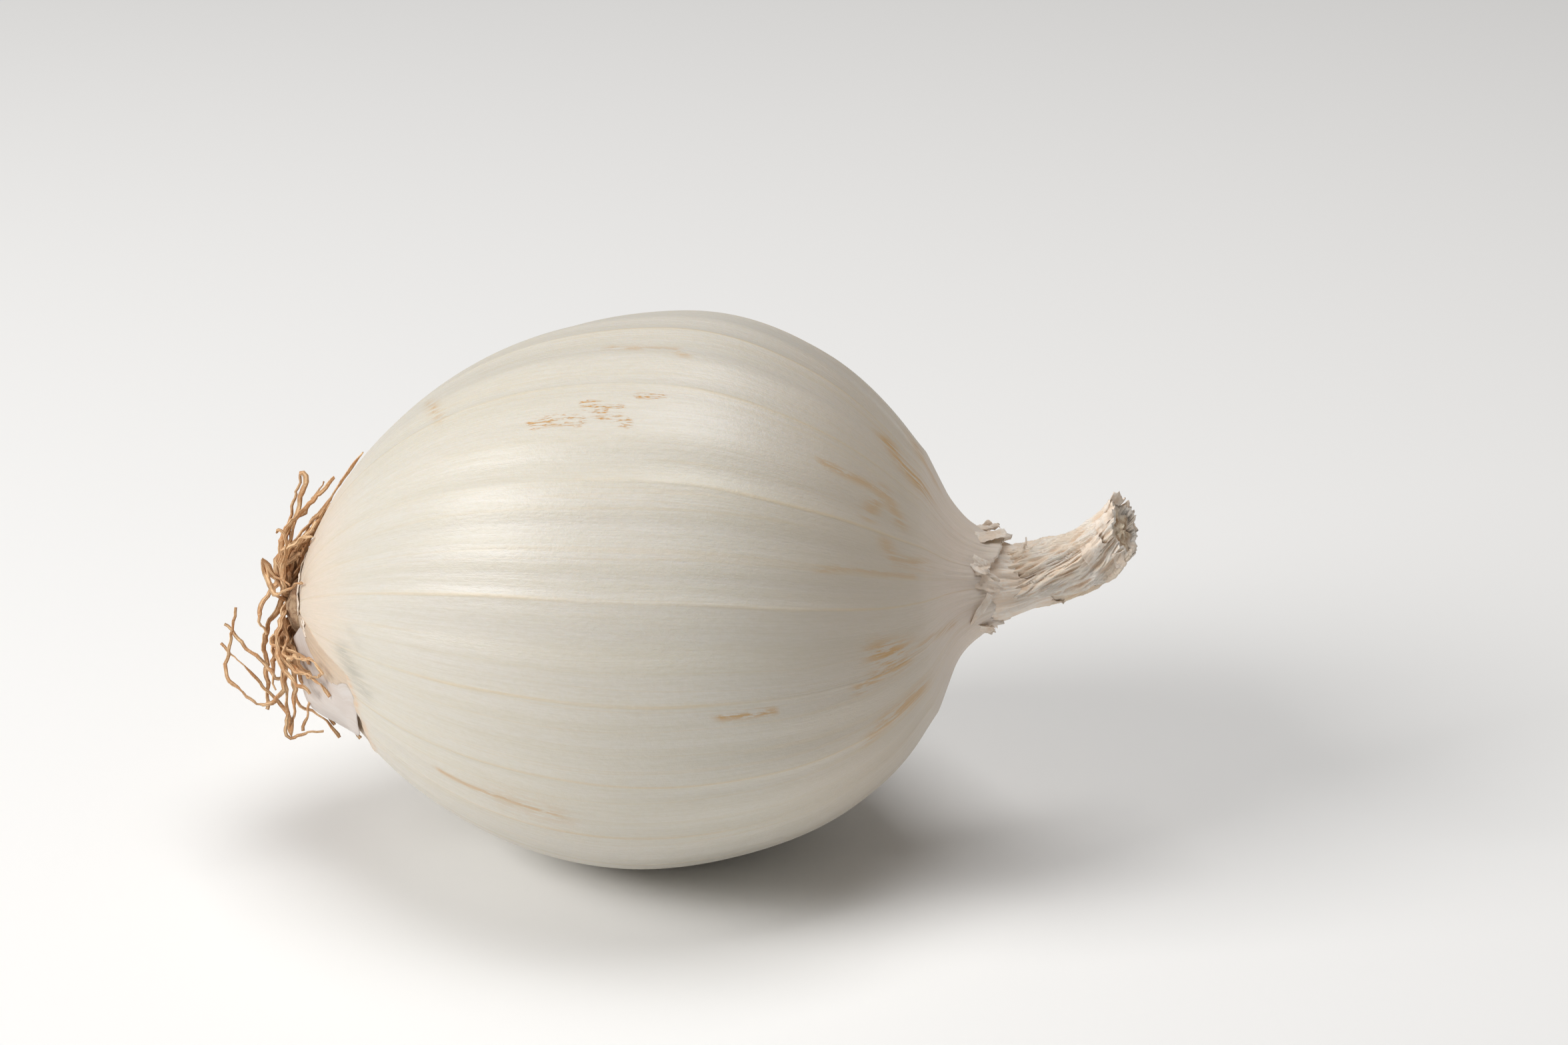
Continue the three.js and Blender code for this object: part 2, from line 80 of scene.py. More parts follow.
world = bpy.data.worlds.new("soft_room")
world.use_nodes = True
world.node_tree.nodes["Background"].inputs["Color"].default_value = ROOM_WHITE
world.node_tree.nodes["Background"].inputs["Strength"].default_value = ROOM_STRENGTH
bpy.context.scene.world = world
bpy.context.scene.view_settings.view_transform = "Standard"


def window(name, place, size, power, colour):
    """A soft rectangular light at place, facing the onion."""
    data = bpy.data.lights.new(name, "AREA")
    data.shape = "RECTANGLE"
    data.size = size[0]
    data.size_y = size[1]
    data.energy = power
    data.color = colour
    lamp = bpy.data.objects.new(name, data)
    lamp.location = place
    lamp.rotation_euler = (Vector(LIT_SPOT) - Vector(place)).to_track_quat("-Z", "Y").to_euler()
    bpy.context.scene.collection.objects.link(lamp)


window("left_window", place=(-0.8, -0.37, 0.62), size=(0.5, 0.45), power=8.0, colour=WINDOW_WHITE)
window("top_window", place=(0.1, 0.06, 1.05), size=(0.6, 0.6), power=5.7, colour=SKY_WHITE)

CAMERA_TARGET = Vector((0.020876, 0.006371, 0.048451))
CAMERA_AZIMUTH = math.radians(4.5)
CAMERA_ELEVATION = math.radians(24)
CAMERA_DISTANCE = 0.568

camera_data = bpy.data.cameras.new("camera")
camera_data.lens = 90
camera_data.sensor_width = 36
camera_back = Vector(
    (
        math.sin(CAMERA_AZIMUTH) * math.cos(CAMERA_ELEVATION),
        -math.cos(CAMERA_AZIMUTH) * math.cos(CAMERA_ELEVATION),
        math.sin(CAMERA_ELEVATION),
    )
)
camera = bpy.data.objects.new("camera", camera_data)
camera.location = CAMERA_TARGET + CAMERA_DISTANCE * camera_back
camera.rotation_euler = camera_back.to_track_quat("Z", "Y").to_euler()
bpy.context.scene.collection.objects.link(camera)
bpy.context.scene.camera = camera


# The bulb

# Fleshy leaf bases under a thin papery skin, which grew as one with them. The skin is one closed
# surface from the pocket for the root plate to the torn mouth round the neck, with a vein about
# every 20 degrees and low flutes between the veins. Places on it are in mm along its axis.

BELLY_RADIUS = 40.0
ROOT_LENGTH = 53.0
CROWN_LENGTH = 44.3
ROOT_FULLNESS = 0.65
SHOULDER_POWER = 2.15
COLLAR_RADIUS = 6.6
COLLAR_FLARE = 1.9
COLLAR_BLEND = 6.0
COLLAR_X = 44.0
MOUTH_X = 48.2
MOUTH_WALL = 0.5
SOCKET_RADIUS = 5.1
SOCKET_X = 43.0
POCKET_RADIUS = 4.9
POCKET_FLOOR = -49.3
VEIN_TWIST = math.radians(0.165)
AXIS_PITCH = math.radians(5)
AXIS_PLACE = (2.849, 0.637, 39.577)
AXIS_SAG = 0.8
CROWN_DROP = 0.6
CORNER_FILL = 1.8
RIB_HEIGHT = 0.13
BROAD_LOBE = 0.3
SMALL_LOBE = 0.2
BULB_SIDES = 432
ROW_STEP = 0.42
ROW_STEP_GAIN = 0.5
MOUTH_ROWS = 14
VEINS = (2, 20, 42, 66, 89, 111, 134, 158, 179, 198, 216, 236, 255, 276, 297, 317, 340)


def soft_step(value, low, high):
    """0 below low, 1 above high, smooth between."""
    share = np.clip((value - low) / (high - low), 0, 1)
    return share * share * (3 - 2 * share)


def bell(value, middle, width):
    """1 at the middle, falling off smoothly to both sides."""
    return np.exp(-(((value - middle) / width) ** 2))


def degrees_apart(angle, other):
    """How far an angle is past another one, the short way round."""
    return (angle - other + 180) % 360 - 180


def bulb_radius(x):
    """Distance in mm from the axis to the skin, a blunt cone to the roots, a shoulder to the neck."""
    x = np.asarray(x, float)
    root_half = BELLY_RADIUS * (1 - np.clip(-x / ROOT_LENGTH, 0, 1) ** 2) ** ROOT_FULLNESS
    share = np.clip(x / CROWN_LENGTH, 0, 1)
    shoulder = BELLY_RADIUS * np.sqrt(np.clip(1 - share**SHOULDER_POWER, 0, 1))
    flare = COLLAR_FLARE * np.exp((CROWN_LENGTH - 0.8 - np.maximum(x, 40)) / 2.2)
    collar = COLLAR_RADIUS + flare
    near = np.maximum(COLLAR_BLEND - np.abs(shoulder - collar), 0) / COLLAR_BLEND
    neck_half = np.maximum(shoulder, collar) + near * near * COLLAR_BLEND / 4
    return np.where(x < 0, root_half, neck_half)


def skin_radius(x):
    """The distance to the skin with the corner between the shoulder and the collar filled."""
    spread = CORNER_FILL * soft_step(x, 38.5, 43.5)
    return sum(bulb_radius(x + spread * n / 5) for n in range(-5, 6)) / 11


def root_cone_x(radius):
    """The place along the axis where the root half has this radius."""
    share = np.minimum(np.asarray(radius, float) / BELLY_RADIUS, 1) ** (1 / ROOT_FULLNESS)
    return -ROOT_LENGTH * np.sqrt(1 - share)


def axis_sag(x):
    """How far the middle of the skin lies above the straight axis."""
    return AXIS_SAG * bell(x, 13, 13) - CROWN_DROP * soft_step(x, 27, 38)


def ribs(angle):
    """The low ribs all along the bulb, and its slightly uneven round."""
    veins = RIB_HEIGHT * np.cos(18 * angle + 0.8 * np.sin(3 * angle))
    between = RIB_HEIGHT * np.cos(31 * angle + 1.3)
    lobes = BROAD_LOBE * np.cos(3 * angle + 0.5) + SMALL_LOBE * np.cos(5 * angle + 2)
    return veins + between + lobes


def in_place(points):
    """Points in mm from the bulb's own frame, x along its axis, to metres on the table."""
    points = np.asarray(points, float).reshape(-1, 3)
    x, y, z = points[:, 0], points[:, 1], points[:, 2]
    tipped = np.empty_like(points)
    tipped[:, 0] = AXIS_PLACE[0] + x * math.cos(AXIS_PITCH) - z * math.sin(AXIS_PITCH)
    tipped[:, 1] = AXIS_PLACE[1] + y
    tipped[:, 2] = AXIS_PLACE[2] + x * math.sin(AXIS_PITCH) + z * math.cos(AXIS_PITCH)
    return tipped / 1000


def rough(x, y, z, seed):
    """Smooth noise from about -1 to 1 at each place."""
    x, y, z = np.broadcast_arrays(x, y, z)
    values = [
        noise.noise(Vector((a, b, c + 31.7 * seed)))
        for a, b, c in zip(np.ravel(x), np.ravel(y), np.ravel(z))
    ]
    return np.array(values).reshape(x.shape)


def surface(name, grid, around=False, closed_ends=False, uv=None, marks=None):
    """A mesh over a grid of points in mm. Around joins the last column to the first one."""
    rows, columns = grid.shape[:2]
    points = grid.reshape(-1, 3)
    wrap = columns if around else columns - 1
    row, column = np.meshgrid(np.arange(rows - 1), np.arange(wrap), indexing="ij")
    following = (column + 1) % columns
    faces = np.stack(
        [
            row * columns + column,
            row * columns + following,
            (row + 1) * columns + following,
            (row + 1) * columns + column,
        ],
        axis=-1,
    ).reshape(-1, 4)
    faces = [tuple(int(n) for n in face) for face in faces]
    corners = np.stack(
        [
            np.stack([row, column], -1),
            np.stack([row, column + 1], -1),
            np.stack([row + 1, column + 1], -1),
            np.stack([row + 1, column], -1),
        ],
        axis=2,
    ).reshape(-1, 2)
    if closed_ends:
        first, last = len(points), len(points) + 1
        points = np.vstack([points, grid[0].mean(axis=0), grid[-1].mean(axis=0)])
        end = (rows - 1) * columns
        for n in range(columns):
            after = (n + 1) % columns
            faces.append((first, after, n))
            faces.append((last, end + n, end + after))
        extra = np.zeros((6 * columns, 2))
        extra[:, 1] = np.repeat(np.arange(columns), 6)
        extra[3::6, 0] = rows - 1
        extra[4::6, 0] = rows - 1
        extra[5::6, 0] = rows - 1
        corners = np.vstack([corners, extra])
    mesh = bpy.data.meshes.new(name)
    mesh.from_pydata(in_place(points).tolist(), [], faces)
    for layer, values in (uv or {}).items():
        chosen = values[corners[:, 0].astype(int), corners[:, 1].astype(int)]
        mesh.uv_layers.new(name=layer).data.foreach_set("uv", chosen.astype(np.float32).ravel())
    for layer, values in (marks or {}).items():
        flat = np.ravel(values)
        if closed_ends:
            flat = np.concatenate([flat, [values[0].mean(), values[-1].mean()]])
        attribute = mesh.attributes.new(layer, "FLOAT", "POINT")
        attribute.data.foreach_set("value", flat.astype(np.float32))
    mesh.polygons.foreach_set("use_smooth", [True] * len(mesh.polygons))
    mesh.update()
    piece = bpy.data.objects.new(name, mesh)
    bpy.context.scene.collection.objects.link(piece)
    return piece


# The torn flaps of the mouth: place round the neck, width in degrees, reach and lift in mm.
MOUTH_FLAPS = (
    (78, 26, 3.4, 0.0),
    (118, 18, 1.6, 0.4),
    (158, 9, 1.6, 0.2),
    (196, 12, 0.8, 0.1),
    (236, 14, 1.6, 0.2),
    (292, 20, 2.6, 1.4),
    (352, 16, 1.8, 1.8),
)


def mouth_flap(angle, column):
    """The reach or the lift of the mouth's edge, by their columns in the list of flaps."""
    degrees = np.degrees(angle + VEIN_TWIST * MOUTH_X)
    return sum(flap[column] * bell(degrees_apart(degrees, flap[0]), 0, flap[1]) for flap in MOUTH_FLAPS)


bulb_profile = [float(root_cone_x(POCKET_RADIUS))]
while bulb_profile[-1] < COLLAR_X:
    here = bulb_profile[-1]
    slope = (bulb_radius(here + 0.05) - bulb_radius(here)) / 0.05
    reach = ROW_STEP + ROW_STEP_GAIN * float(soft_step(float(bulb_radius(here)), 9, 34))
    bulb_profile.append(here + reach / math.sqrt(1 + float(slope) ** 2))
bulb_profile[-1] = COLLAR_X

bulb_angles = np.arange(BULB_SIDES) / BULB_SIDES * 2 * np.pi
bulb_draw = random.Random(7)
mouth_teeth = np.array([bulb_draw.random() for _ in range(BULB_SIDES // 3)])
mouth_teeth = np.interp(
    np.arange(BULB_SIDES), np.arange(0, BULB_SIDES, 3), mouth_teeth, period=BULB_SIDES
)
mouth_end = MOUTH_X + mouth_flap(bulb_angles, 2) + 0.5 * mouth_teeth - 0.1
mouth_lift = mouth_flap(bulb_angles, 3)

bulb_x = [np.full(BULB_SIDES, x) for x in bulb_profile]
bulb_r = [np.full(BULB_SIDES, skin_radius(x)) for x in bulb_profile]
for n in range(1, MOUTH_ROWS + 1):
    share = n / MOUTH_ROWS
    x = COLLAR_X + (mouth_end - COLLAR_X) * share
    bulb_x.append(x)
    bulb_r.append(skin_radius(x) - 0.3 * share + mouth_lift * share * share)
bulb_x = np.array(bulb_x)
bulb_r = np.array(bulb_r)
around = np.broadcast_to(bulb_angles, bulb_x.shape)
degrees = np.degrees(around)

# The nearest vein of each place, with a slow sway of each vein along the bulb.
sway = 1.1 * rough(2.2 * np.cos(around), 2.2 * np.sin(around), bulb_x / 26, 1)
vein_steps = np.array(VEINS + (VEINS[0] + 360,), float)
bulb_phase = np.interp(
    (degrees + sway - VEINS[0]) % 360 + VEINS[0], vein_steps, np.arange(len(vein_steps))
)
from_vein = (bulb_phase + 0.5) % 1 - 0.5

# The relief of the skin, in mm: a ridge at each vein, flutes between them, fine waves, pleats that
# run together at the neck, and a fuller collar above and below.
RIDGE_HEIGHT = 0.12
RIDGE_GROOVE = 0.09
FLUTE_HEIGHT = 0.11
WAVE_HEIGHT = 0.05
PLEAT_HEIGHT = 0.34
NECK_WAVE_HEIGHT = 0.12
ROOT_PLEAT_SHARE = 0.22
GATHER_HEIGHT = 0.16

ribbed = soft_step(bulb_r, POCKET_RADIUS, BELLY_RADIUS)
near_neck = soft_step(bulb_x, 33, 44)
near_root = 1 - soft_step(bulb_x, -50, -38)
ridge = RIDGE_HEIGHT * bell(from_vein, 0, 0.045) - RIDGE_GROOVE * bell(from_vein, 0.12, 0.1)
flute = FLUTE_HEIGHT * rough(9 * np.cos(around), 9 * np.sin(around), bulb_x / 40, 2)
wave = rough(26 * np.cos(around), 26 * np.sin(around), bulb_x / 22, 3)
pleats = PLEAT_HEIGHT * rough(5.5 * np.cos(around), 5.5 * np.sin(around), bulb_x / 9, 4)
bulb_r = bulb_r + ribbed * (ribs(around) + ridge) + flute * soft_step(bulb_r, 6, 20)
bulb_r = bulb_r + WAVE_HEIGHT * wave * soft_step(bulb_r, 8, 20)
bulb_r = bulb_r + (pleats + NECK_WAVE_HEIGHT * wave) * near_neck * (1 - 0.4 * soft_step(bulb_x, 46, 50))
bulb_r = bulb_r + ROOT_PLEAT_SHARE * pleats * near_root * soft_step(bulb_r, 5, 8)
below = bell(degrees_apart(degrees, 246), 0, 70)
above = bell(degrees_apart(degrees, 75), 0, 50)
collar_below = (0.8 + 0.5 * below) * bell(bulb_x, 45.4, 2.3)
collar_above = 0.7 * above * bell(bulb_x, 43.8, 2.4)
bulb_r = bulb_r + collar_below + collar_above

# Fine folds run together towards the root plate.
gather = rough(15 * np.cos(around), 15 * np.sin(around), bulb_x / 12, 5)
gathered = (1 - soft_step(bulb_x, -51, -36)) * soft_step(bulb_r, 5, 9)
bulb_r = bulb_r + GATHER_HEIGHT * gathered * (0.3 - np.abs(gather))

# Where the loose strip was torn away, the outer layer ends in a low step, and the layer under it
# is bare from the step to the root plate: degrees round the bulb, and the radius of the step.
TORN_EDGE = (
    (166, 5.5),
    (176, 9.5),
    (183, 13.0),
    (188, 17.0),
    (191, 20.3),
    (199, 21.6),
    (208, 21.5),
    (228, 22.3),
    (262, 19.0),
    (288, 8.0),
)
STEP_DEPTH = 0.35
BARE_FOLD = 0.5
RIM_HEIGHT = 0.2
TEAR_WANDER = 0.5

torn_at = np.interp(degrees, [a for a, _ in TORN_EDGE], [r for _, r in TORN_EDGE], left=0, right=0)
tear_wander = TEAR_WANDER * rough(6 * np.cos(around), 6 * np.sin(around), bulb_x / 6, 6)
torn_at = torn_at + tear_wander * (torn_at > 0)
past_edge = np.where(bulb_x < 0, bulb_r - torn_at, 99)
bare = (torn_at > 0) * (1 - soft_step(past_edge, -0.35, 0.1))
torn_rim = (torn_at > 0) * bell(past_edge, 0.35, 0.45)
bare_depth = (STEP_DEPTH + BARE_FOLD * np.abs(gather)) * bare * soft_step(bulb_r, 5.2, 7)
bulb_r = bulb_r - bare_depth + RIM_HEIGHT * torn_rim

# Inside the mouth, down to the socket that the neck stands in.
inner_x = [mouth_end - 0.15, np.full(BULB_SIDES, MOUTH_X - 0.8), np.full(BULB_SIDES, SOCKET_X)]
inner_r = [
    bulb_r[-1] - MOUTH_WALL,
    np.full(BULB_SIDES, SOCKET_RADIUS + 0.1),
    np.full(BULB_SIDES, SOCKET_RADIUS),
]
pocket_x = [np.full(BULB_SIDES, POCKET_FLOOR), np.full(BULB_SIDES, POCKET_FLOOR)]
pocket_r = [np.full(BULB_SIDES, POCKET_RADIUS / 2), np.full(BULB_SIDES, POCKET_RADIUS)]
all_x = np.vstack([pocket_x, bulb_x, inner_x])
all_r = np.vstack([pocket_r, bulb_r, inner_r])
all_turn = np.broadcast_to(bulb_angles, all_x.shape) + VEIN_TWIST * all_x
bulb_grid = np.stack(
    [all_x, all_r * np.cos(all_turn), all_r * np.sin(all_turn) + axis_sag(all_x)], axis=-1
)

turn_share = np.broadcast_to(np.arange(BULB_SIDES + 1) / BULB_SIDES, (len(all_x), BULB_SIDES + 1))
along_share = np.hstack([all_x, all_x[:, :1]]) / 100
phase_rows = np.vstack([bulb_phase[:1], bulb_phase[:1], bulb_phase, np.repeat(bulb_phase[-1:], 3, 0)])
phase_last = phase_rows[:, :1] + len(VEINS)
phase_rows = np.hstack([phase_rows, phase_last])
bulb_uv = {
    "skin": np.stack([turn_share, along_share], axis=-1),
    "veins": np.stack([phase_rows, along_share], axis=-1),
}

# Marks on the skin: a line of pixels of the photograph, then how wide it is in mm and how strong.
PHOTO_WIDTH = 2352
PHOTO_HEIGHT = 1568
OCHRE_MARKS = (
    (((1333, 666), (1355, 700), (1381, 729)), 1.5, 0.9),
    (((1367, 658), (1385, 690), (1396, 712)), 1.2, 0.7),
    (((1235, 696), (1270, 714), (1314, 735)), 0.7, 0.6),
    (((1302, 775), (1329, 739), (1350, 785)), 0.9, 0.5),
    (((1329, 816), (1341, 840), (1387, 848)), 0.9, 0.45),
    (((1228, 856), (1280, 853), (1369, 865)), 0.5, 0.4),
    (((1318, 980), (1346, 980), (1332, 994)), 1.7, 0.9),
    (((1290, 1033), (1320, 1012), (1356, 994)), 1.0, 0.8),
    (((1331, 1079), (1355, 1060), (1377, 1040)), 1.4, 0.8),
    (((1305, 1107), (1331, 1079)), 1.2, 0.6),
    (((1356, 993), (1392, 959), (1430, 933)), 0.5, 0.5),
    (((1078, 1077), (1105, 1075), (1159, 1067)), 0.5, 1.0),
    (((916, 522), (966, 524), (1016, 526), (1027, 537)), 0.8, 0.5),
    (((642, 602), (650, 617), (661, 632)), 1.0, 0.4),
    (((760, 1200), (834, 1222)), 3.0, 0.3),
    (((660, 1154), (700, 1176), (760, 1198), (834, 1222)), 0.6, 0.8),
)
GREY_MARKS = (
    (((515, 980), (525, 1000), (535, 1020), (545, 1035)), 1.7, 1.0),
    (((526, 948), (538, 966)), 1.0, 0.4),
)
SCRATCH_MARKS = (
    (((800, 640), (832, 633), (870, 635)), 1.3, 1.0),
    (((880, 610), (905, 627), (940, 638)), 1.2, 1.0),
    (((897, 610), (931, 616)), 1.0, 0.9),
    (((955, 597), (978, 598), (1000, 596)), 0.7, 1.0),
    (((642, 606), (657, 625)), 0.8, 0.6),
)


def seen_on_skin(across, down):
    """Where the sight line of a pixel meets the skin: mm along the axis, degrees round it."""
    pixel = camera_data.sensor_width / camera_data.lens / PHOTO_WIDTH
    aim = Vector(((across - PHOTO_WIDTH / 2) * pixel, (PHOTO_HEIGHT / 2 - down) * pixel, -1))
    sight = camera.rotation_euler.to_matrix() @ aim.normalized()
    far = np.arange(1000 * CAMERA_DISTANCE - 120, 1000 * CAMERA_DISTANCE + 60, 0.1)[:, None]
    places = 1000 * np.array(camera.location) + far * np.array(sight) - np.array(AXIS_PLACE)
    x = places[:, 0] * math.cos(AXIS_PITCH) + places[:, 2] * math.sin(AXIS_PITCH)
    z = places[:, 2] * math.cos(AXIS_PITCH) - places[:, 0] * math.sin(AXIS_PITCH) - axis_sag(x)
    met = np.argmax((np.abs(x) < ROOT_LENGTH) & (np.hypot(places[:, 1], z) < bulb_radius(x)))
    return x[met], math.degrees(math.atan2(z[met], places[met, 1]) - VEIN_TWIST * x[met]) % 360


def marked(marks, x, angle, radius):
    """How strongly each place is marked, from 0 to 1."""
    strongest = np.zeros(x.shape)
    for line, width, strength in marks:
        places = [seen_on_skin(*pixel) for pixel in line]
        for (start_x, start_angle), (end_x, end_angle) in zip(places[:-1], places[1:]):
            degree = np.pi / 180 * radius
            run_x = end_x - start_x
            run_y = (end_angle - start_angle) * degree
            from_x = x - start_x
            from_y = degrees_apart(np.degrees(angle), start_angle) * degree
            run_squared = np.maximum(run_x**2 + run_y**2, 1e-6)
            share = np.clip((from_x * run_x + from_y * run_y) / run_squared, 0, 1)
            away = np.hypot(from_x - share * run_x, from_y - share * run_y)
            strongest = np.maximum(strongest, strength * np.exp(-((away / width) ** 2)))
    return strongest


def with_ends(rows):
    """A field of the skin's outside, with nothing in the root pocket or inside the mouth."""
    return np.vstack([0 * rows[:2], rows, 0 * rows[:3]])


all_around = np.broadcast_to(bulb_angles, all_x.shape)
bulb_marks = {
    "bare": with_ends(bare),
    "torn_rim": with_ends(torn_rim),
    "ochre": marked(OCHRE_MARKS, all_x, all_around, all_r),
    "scratch": marked(SCRATCH_MARKS, all_x, all_around, all_r),
    "grey": marked(GREY_MARKS, all_x, all_around, all_r),
}
bulb = surface("bulb_skin", bulb_grid, True, True, bulb_uv, bulb_marks)

# The belly is pressed flat where it rests.
bulb_points = np.empty(3 * len(bulb.data.vertices))
bulb.data.vertices.foreach_get("co", bulb_points)
bulb_points[2::3] = np.maximum(bulb_points[2::3], 0)
bulb.data.vertices.foreach_set("co", bulb_points)
bulb.data.update()


def maths(tree, operation, first, second=None, third=None, clamp=False):
    """A Math node whose inputs are sockets or numbers."""
    node = tree.nodes.new("ShaderNodeMath")
    node.operation = operation
    node.use_clamp = clamp
    for socket, value in zip(node.inputs, (first, second, third)):
        if value is None:
            continue
        if isinstance(value, (int, float)):
            socket.default_value = value
        else:
            tree.links.new(value, socket)
    return node.outputs[0]


def mixed(tree, share, first, second):
    """A colour mix whose inputs are sockets or colours."""
    node = tree.nodes.new("ShaderNodeMix")
    node.data_type = "RGBA"
    if isinstance(share, (int, float)):
        node.inputs[0].default_value = share
    else:
        tree.links.new(share, node.inputs[0])
    for socket, value in ((node.inputs[6], first), (node.inputs[7], second)):
        if isinstance(value, tuple):
            socket.default_value = value
        else:
            tree.links.new(value, socket)
    return node.outputs[2]


def noisy(tree, vector, scale, detail=2.0, roughness=0.5):
    """The value of a noise texture at a vector."""
    node = tree.nodes.new("ShaderNodeTexNoise")
    node.inputs["Scale"].default_value = scale
    node.inputs["Detail"].default_value = detail
    node.inputs["Roughness"].default_value = roughness
    tree.links.new(vector, node.inputs["Vector"])
    return node.outputs["Fac"]


def ramped(tree, value, low, high):
    """0 below low, 1 above high, smooth between."""
    node = tree.nodes.new("ShaderNodeMapRange")
    node.interpolation_type = "SMOOTHSTEP"
    node.inputs["From Min"].default_value = low
    node.inputs["From Max"].default_value = high
    tree.links.new(value, node.inputs["Value"])
    return node.outputs["Result"]


def layer(tree, name):
    """The two numbers of one of the piece's own maps."""
    node = tree.nodes.new("ShaderNodeUVMap")
    node.uv_map = name
    split = tree.nodes.new("ShaderNodeSeparateXYZ")
    tree.links.new(node.outputs["UV"], split.inputs[0])
    return split.outputs[0], split.outputs[1]


def attribute_of(tree, name):
    """The value of one of the marks on the piece."""
    node = tree.nodes.new("ShaderNodeAttribute")
    node.attribute_name = name
    return node.outputs["Fac"]


def inverse(tree, value):
    """One less the value."""
    return maths(tree, "SUBTRACT", 1.0, value)


def off_middle(tree, value):
    """How far a value from 0 to 1 is from its middle."""
    return maths(tree, "ABSOLUTE", maths(tree, "SUBTRACT", value, 0.5))


def tinted(tree, base, colour, mask, strength):
    """The base colour, turned towards another one by a mask."""
    return mixed(tree, maths(tree, "MULTIPLY", mask, strength), base, colour)


def streak_group():
    """Noise drawn out along a piece, from its turn round the axis and its place along it."""
    group = bpy.data.node_groups.new("long_streaks", "ShaderNodeTree")
    for name in ("Turn", "Along", "Round size", "Long size", "Detail", "Roughness"):
        group.interface.new_socket(name=name, in_out="INPUT", socket_type="NodeSocketFloat")
    group.interface.new_socket(name="Value", in_out="OUTPUT", socket_type="NodeSocketFloat")
    given = group.nodes.new("NodeGroupInput").outputs
    result = group.nodes.new("NodeGroupOutput")
    angle = maths(group, "MULTIPLY", given["Turn"], 2 * math.pi)
    across = maths(group, "MULTIPLY", maths(group, "COSINE", angle), given["Round size"])
    upward = maths(group, "MULTIPLY", maths(group, "SINE", angle), given["Round size"])
    onward = maths(group, "MULTIPLY", given["Along"], given["Long size"])
    place = group.nodes.new("ShaderNodeCombineXYZ")
    for socket, value in zip(place.inputs, (across, upward, onward)):
        group.links.new(value, socket)
    texture = group.nodes.new("ShaderNodeTexNoise")
    texture.inputs["Scale"].default_value = 1.0
    group.links.new(place.outputs[0], texture.inputs["Vector"])
    group.links.new(given["Detail"], texture.inputs["Detail"])
    group.links.new(given["Roughness"], texture.inputs["Roughness"])
    group.links.new(texture.outputs["Fac"], result.inputs["Value"])
    return group


long_streaks = streak_group()


def streaked(tree, places, round_size, long_size, detail=2.0, roughness=0.5):
    """The long streaks at a size round the piece and a size along it."""
    node = tree.nodes.new("ShaderNodeGroup")
    node.node_tree = long_streaks
    tree.links.new(places[0], node.inputs["Turn"])
    tree.links.new(places[1], node.inputs["Along"])
    node.inputs["Round size"].default_value = round_size
    node.inputs["Long size"].default_value = long_size
    node.inputs["Detail"].default_value = detail
    node.inputs["Roughness"].default_value = roughness
    return node.outputs["Value"]


CREAM = (0.7, 0.665, 0.59, 1)
PALE_CREAM = (0.735, 0.7, 0.64, 1)
STREAK_STRAW = (0.655, 0.61, 0.5, 1)
ROOT_PEACH = (0.82, 0.64, 0.49, 1)
SHOULDER_TAN_AND_SHADE = (0.62, 0.53, 0.43, 1)
COLLAR_PINK = (0.86, 0.74, 0.65, 1)
VEIN_OCHRE = (0.72, 0.52, 0.24, 1)
LINE_OCHRE = (0.68, 0.52, 0.28, 1)
STAIN_OCHRE = (0.6, 0.34, 0.1, 1)
SCRATCH_RUST = (0.6, 0.3, 0.07, 1)
BARE_BROWN = (0.64, 0.47, 0.33, 1)
PATCH_GREY = (0.42, 0.4, 0.34, 1)
RIM_RUST = (0.74, 0.42, 0.2, 1)
PAPER_SHADE = (0.6, 0.54, 0.4, 1)
FIBRE_SHADE = (0.56, 0.5, 0.38, 1)

bulb_material = bpy.data.materials.new("bulb_skin")
bulb_material.use_nodes = True
tree = bulb_material.node_tree
shader = tree.nodes["Principled BSDF"]
skin_places = layer(tree, "skin")
along_v = skin_places[1]
phase_u = layer(tree, "veins")[0]

slow = streaked(tree, skin_places, 1.4, 1.6, 3.0)
streaks = streaked(tree, skin_places, 24, 1.1, 3.0, 0.6)
fibres = streaked(tree, skin_places, 150, 22, 2.0, 0.65)
paper = streaked(tree, skin_places, 62, 110, 3.0, 0.7)
speckle = streaked(tree, skin_places, 38, 24, 4.0, 0.7)

vein_share = off_middle(tree, maths(tree, "FRACT", maths(tree, "ADD", phase_u, 0.5)))
vein_line = inverse(tree, ramped(tree, vein_share, 0.004, 0.03))
vein_strength = ramped(tree, streaked(tree, skin_places, 5, 2.4), 0.34, 0.62)
fine_noise = streaked(tree, skin_places, 13, 0.5, 1.0)
fine_line = inverse(tree, ramped(tree, off_middle(tree, fine_noise), 0.002, 0.016))

# The cream of the skin: streaks, then warmer towards the roots, darker and warmer from the belly to the
# shoulder (partly the skin's own tan, partly painted shade for the flank that faces away from the light)
# and pink at the collar, with the veins in ochre.
skin = mixed(tree, ramped(tree, slow, 0.35, 0.65), CREAM, PALE_CREAM)
skin = tinted(tree, skin, STREAK_STRAW, ramped(tree, streaks, 0.35, 0.7), 0.42)
skin = tinted(tree, skin, ROOT_PEACH, inverse(tree, ramped(tree, along_v, -0.49, -0.37)), 0.6)
# Painted shade: the shoulder band is darkened towards tan, as well as warmed.
skin = tinted(tree, skin, SHOULDER_TAN_AND_SHADE, ramped(tree, along_v, 0.1, 0.38), 0.75)
at_neck = ramped(tree, along_v, 0.37, 0.45)
skin = tinted(tree, skin, COLLAR_PINK, at_neck, 0.85)
skin = tinted(tree, skin, VEIN_OCHRE, maths(tree, "MULTIPLY", vein_line, vein_strength), 0.3)
skin = tinted(tree, skin, LINE_OCHRE, fine_line, 0.15)

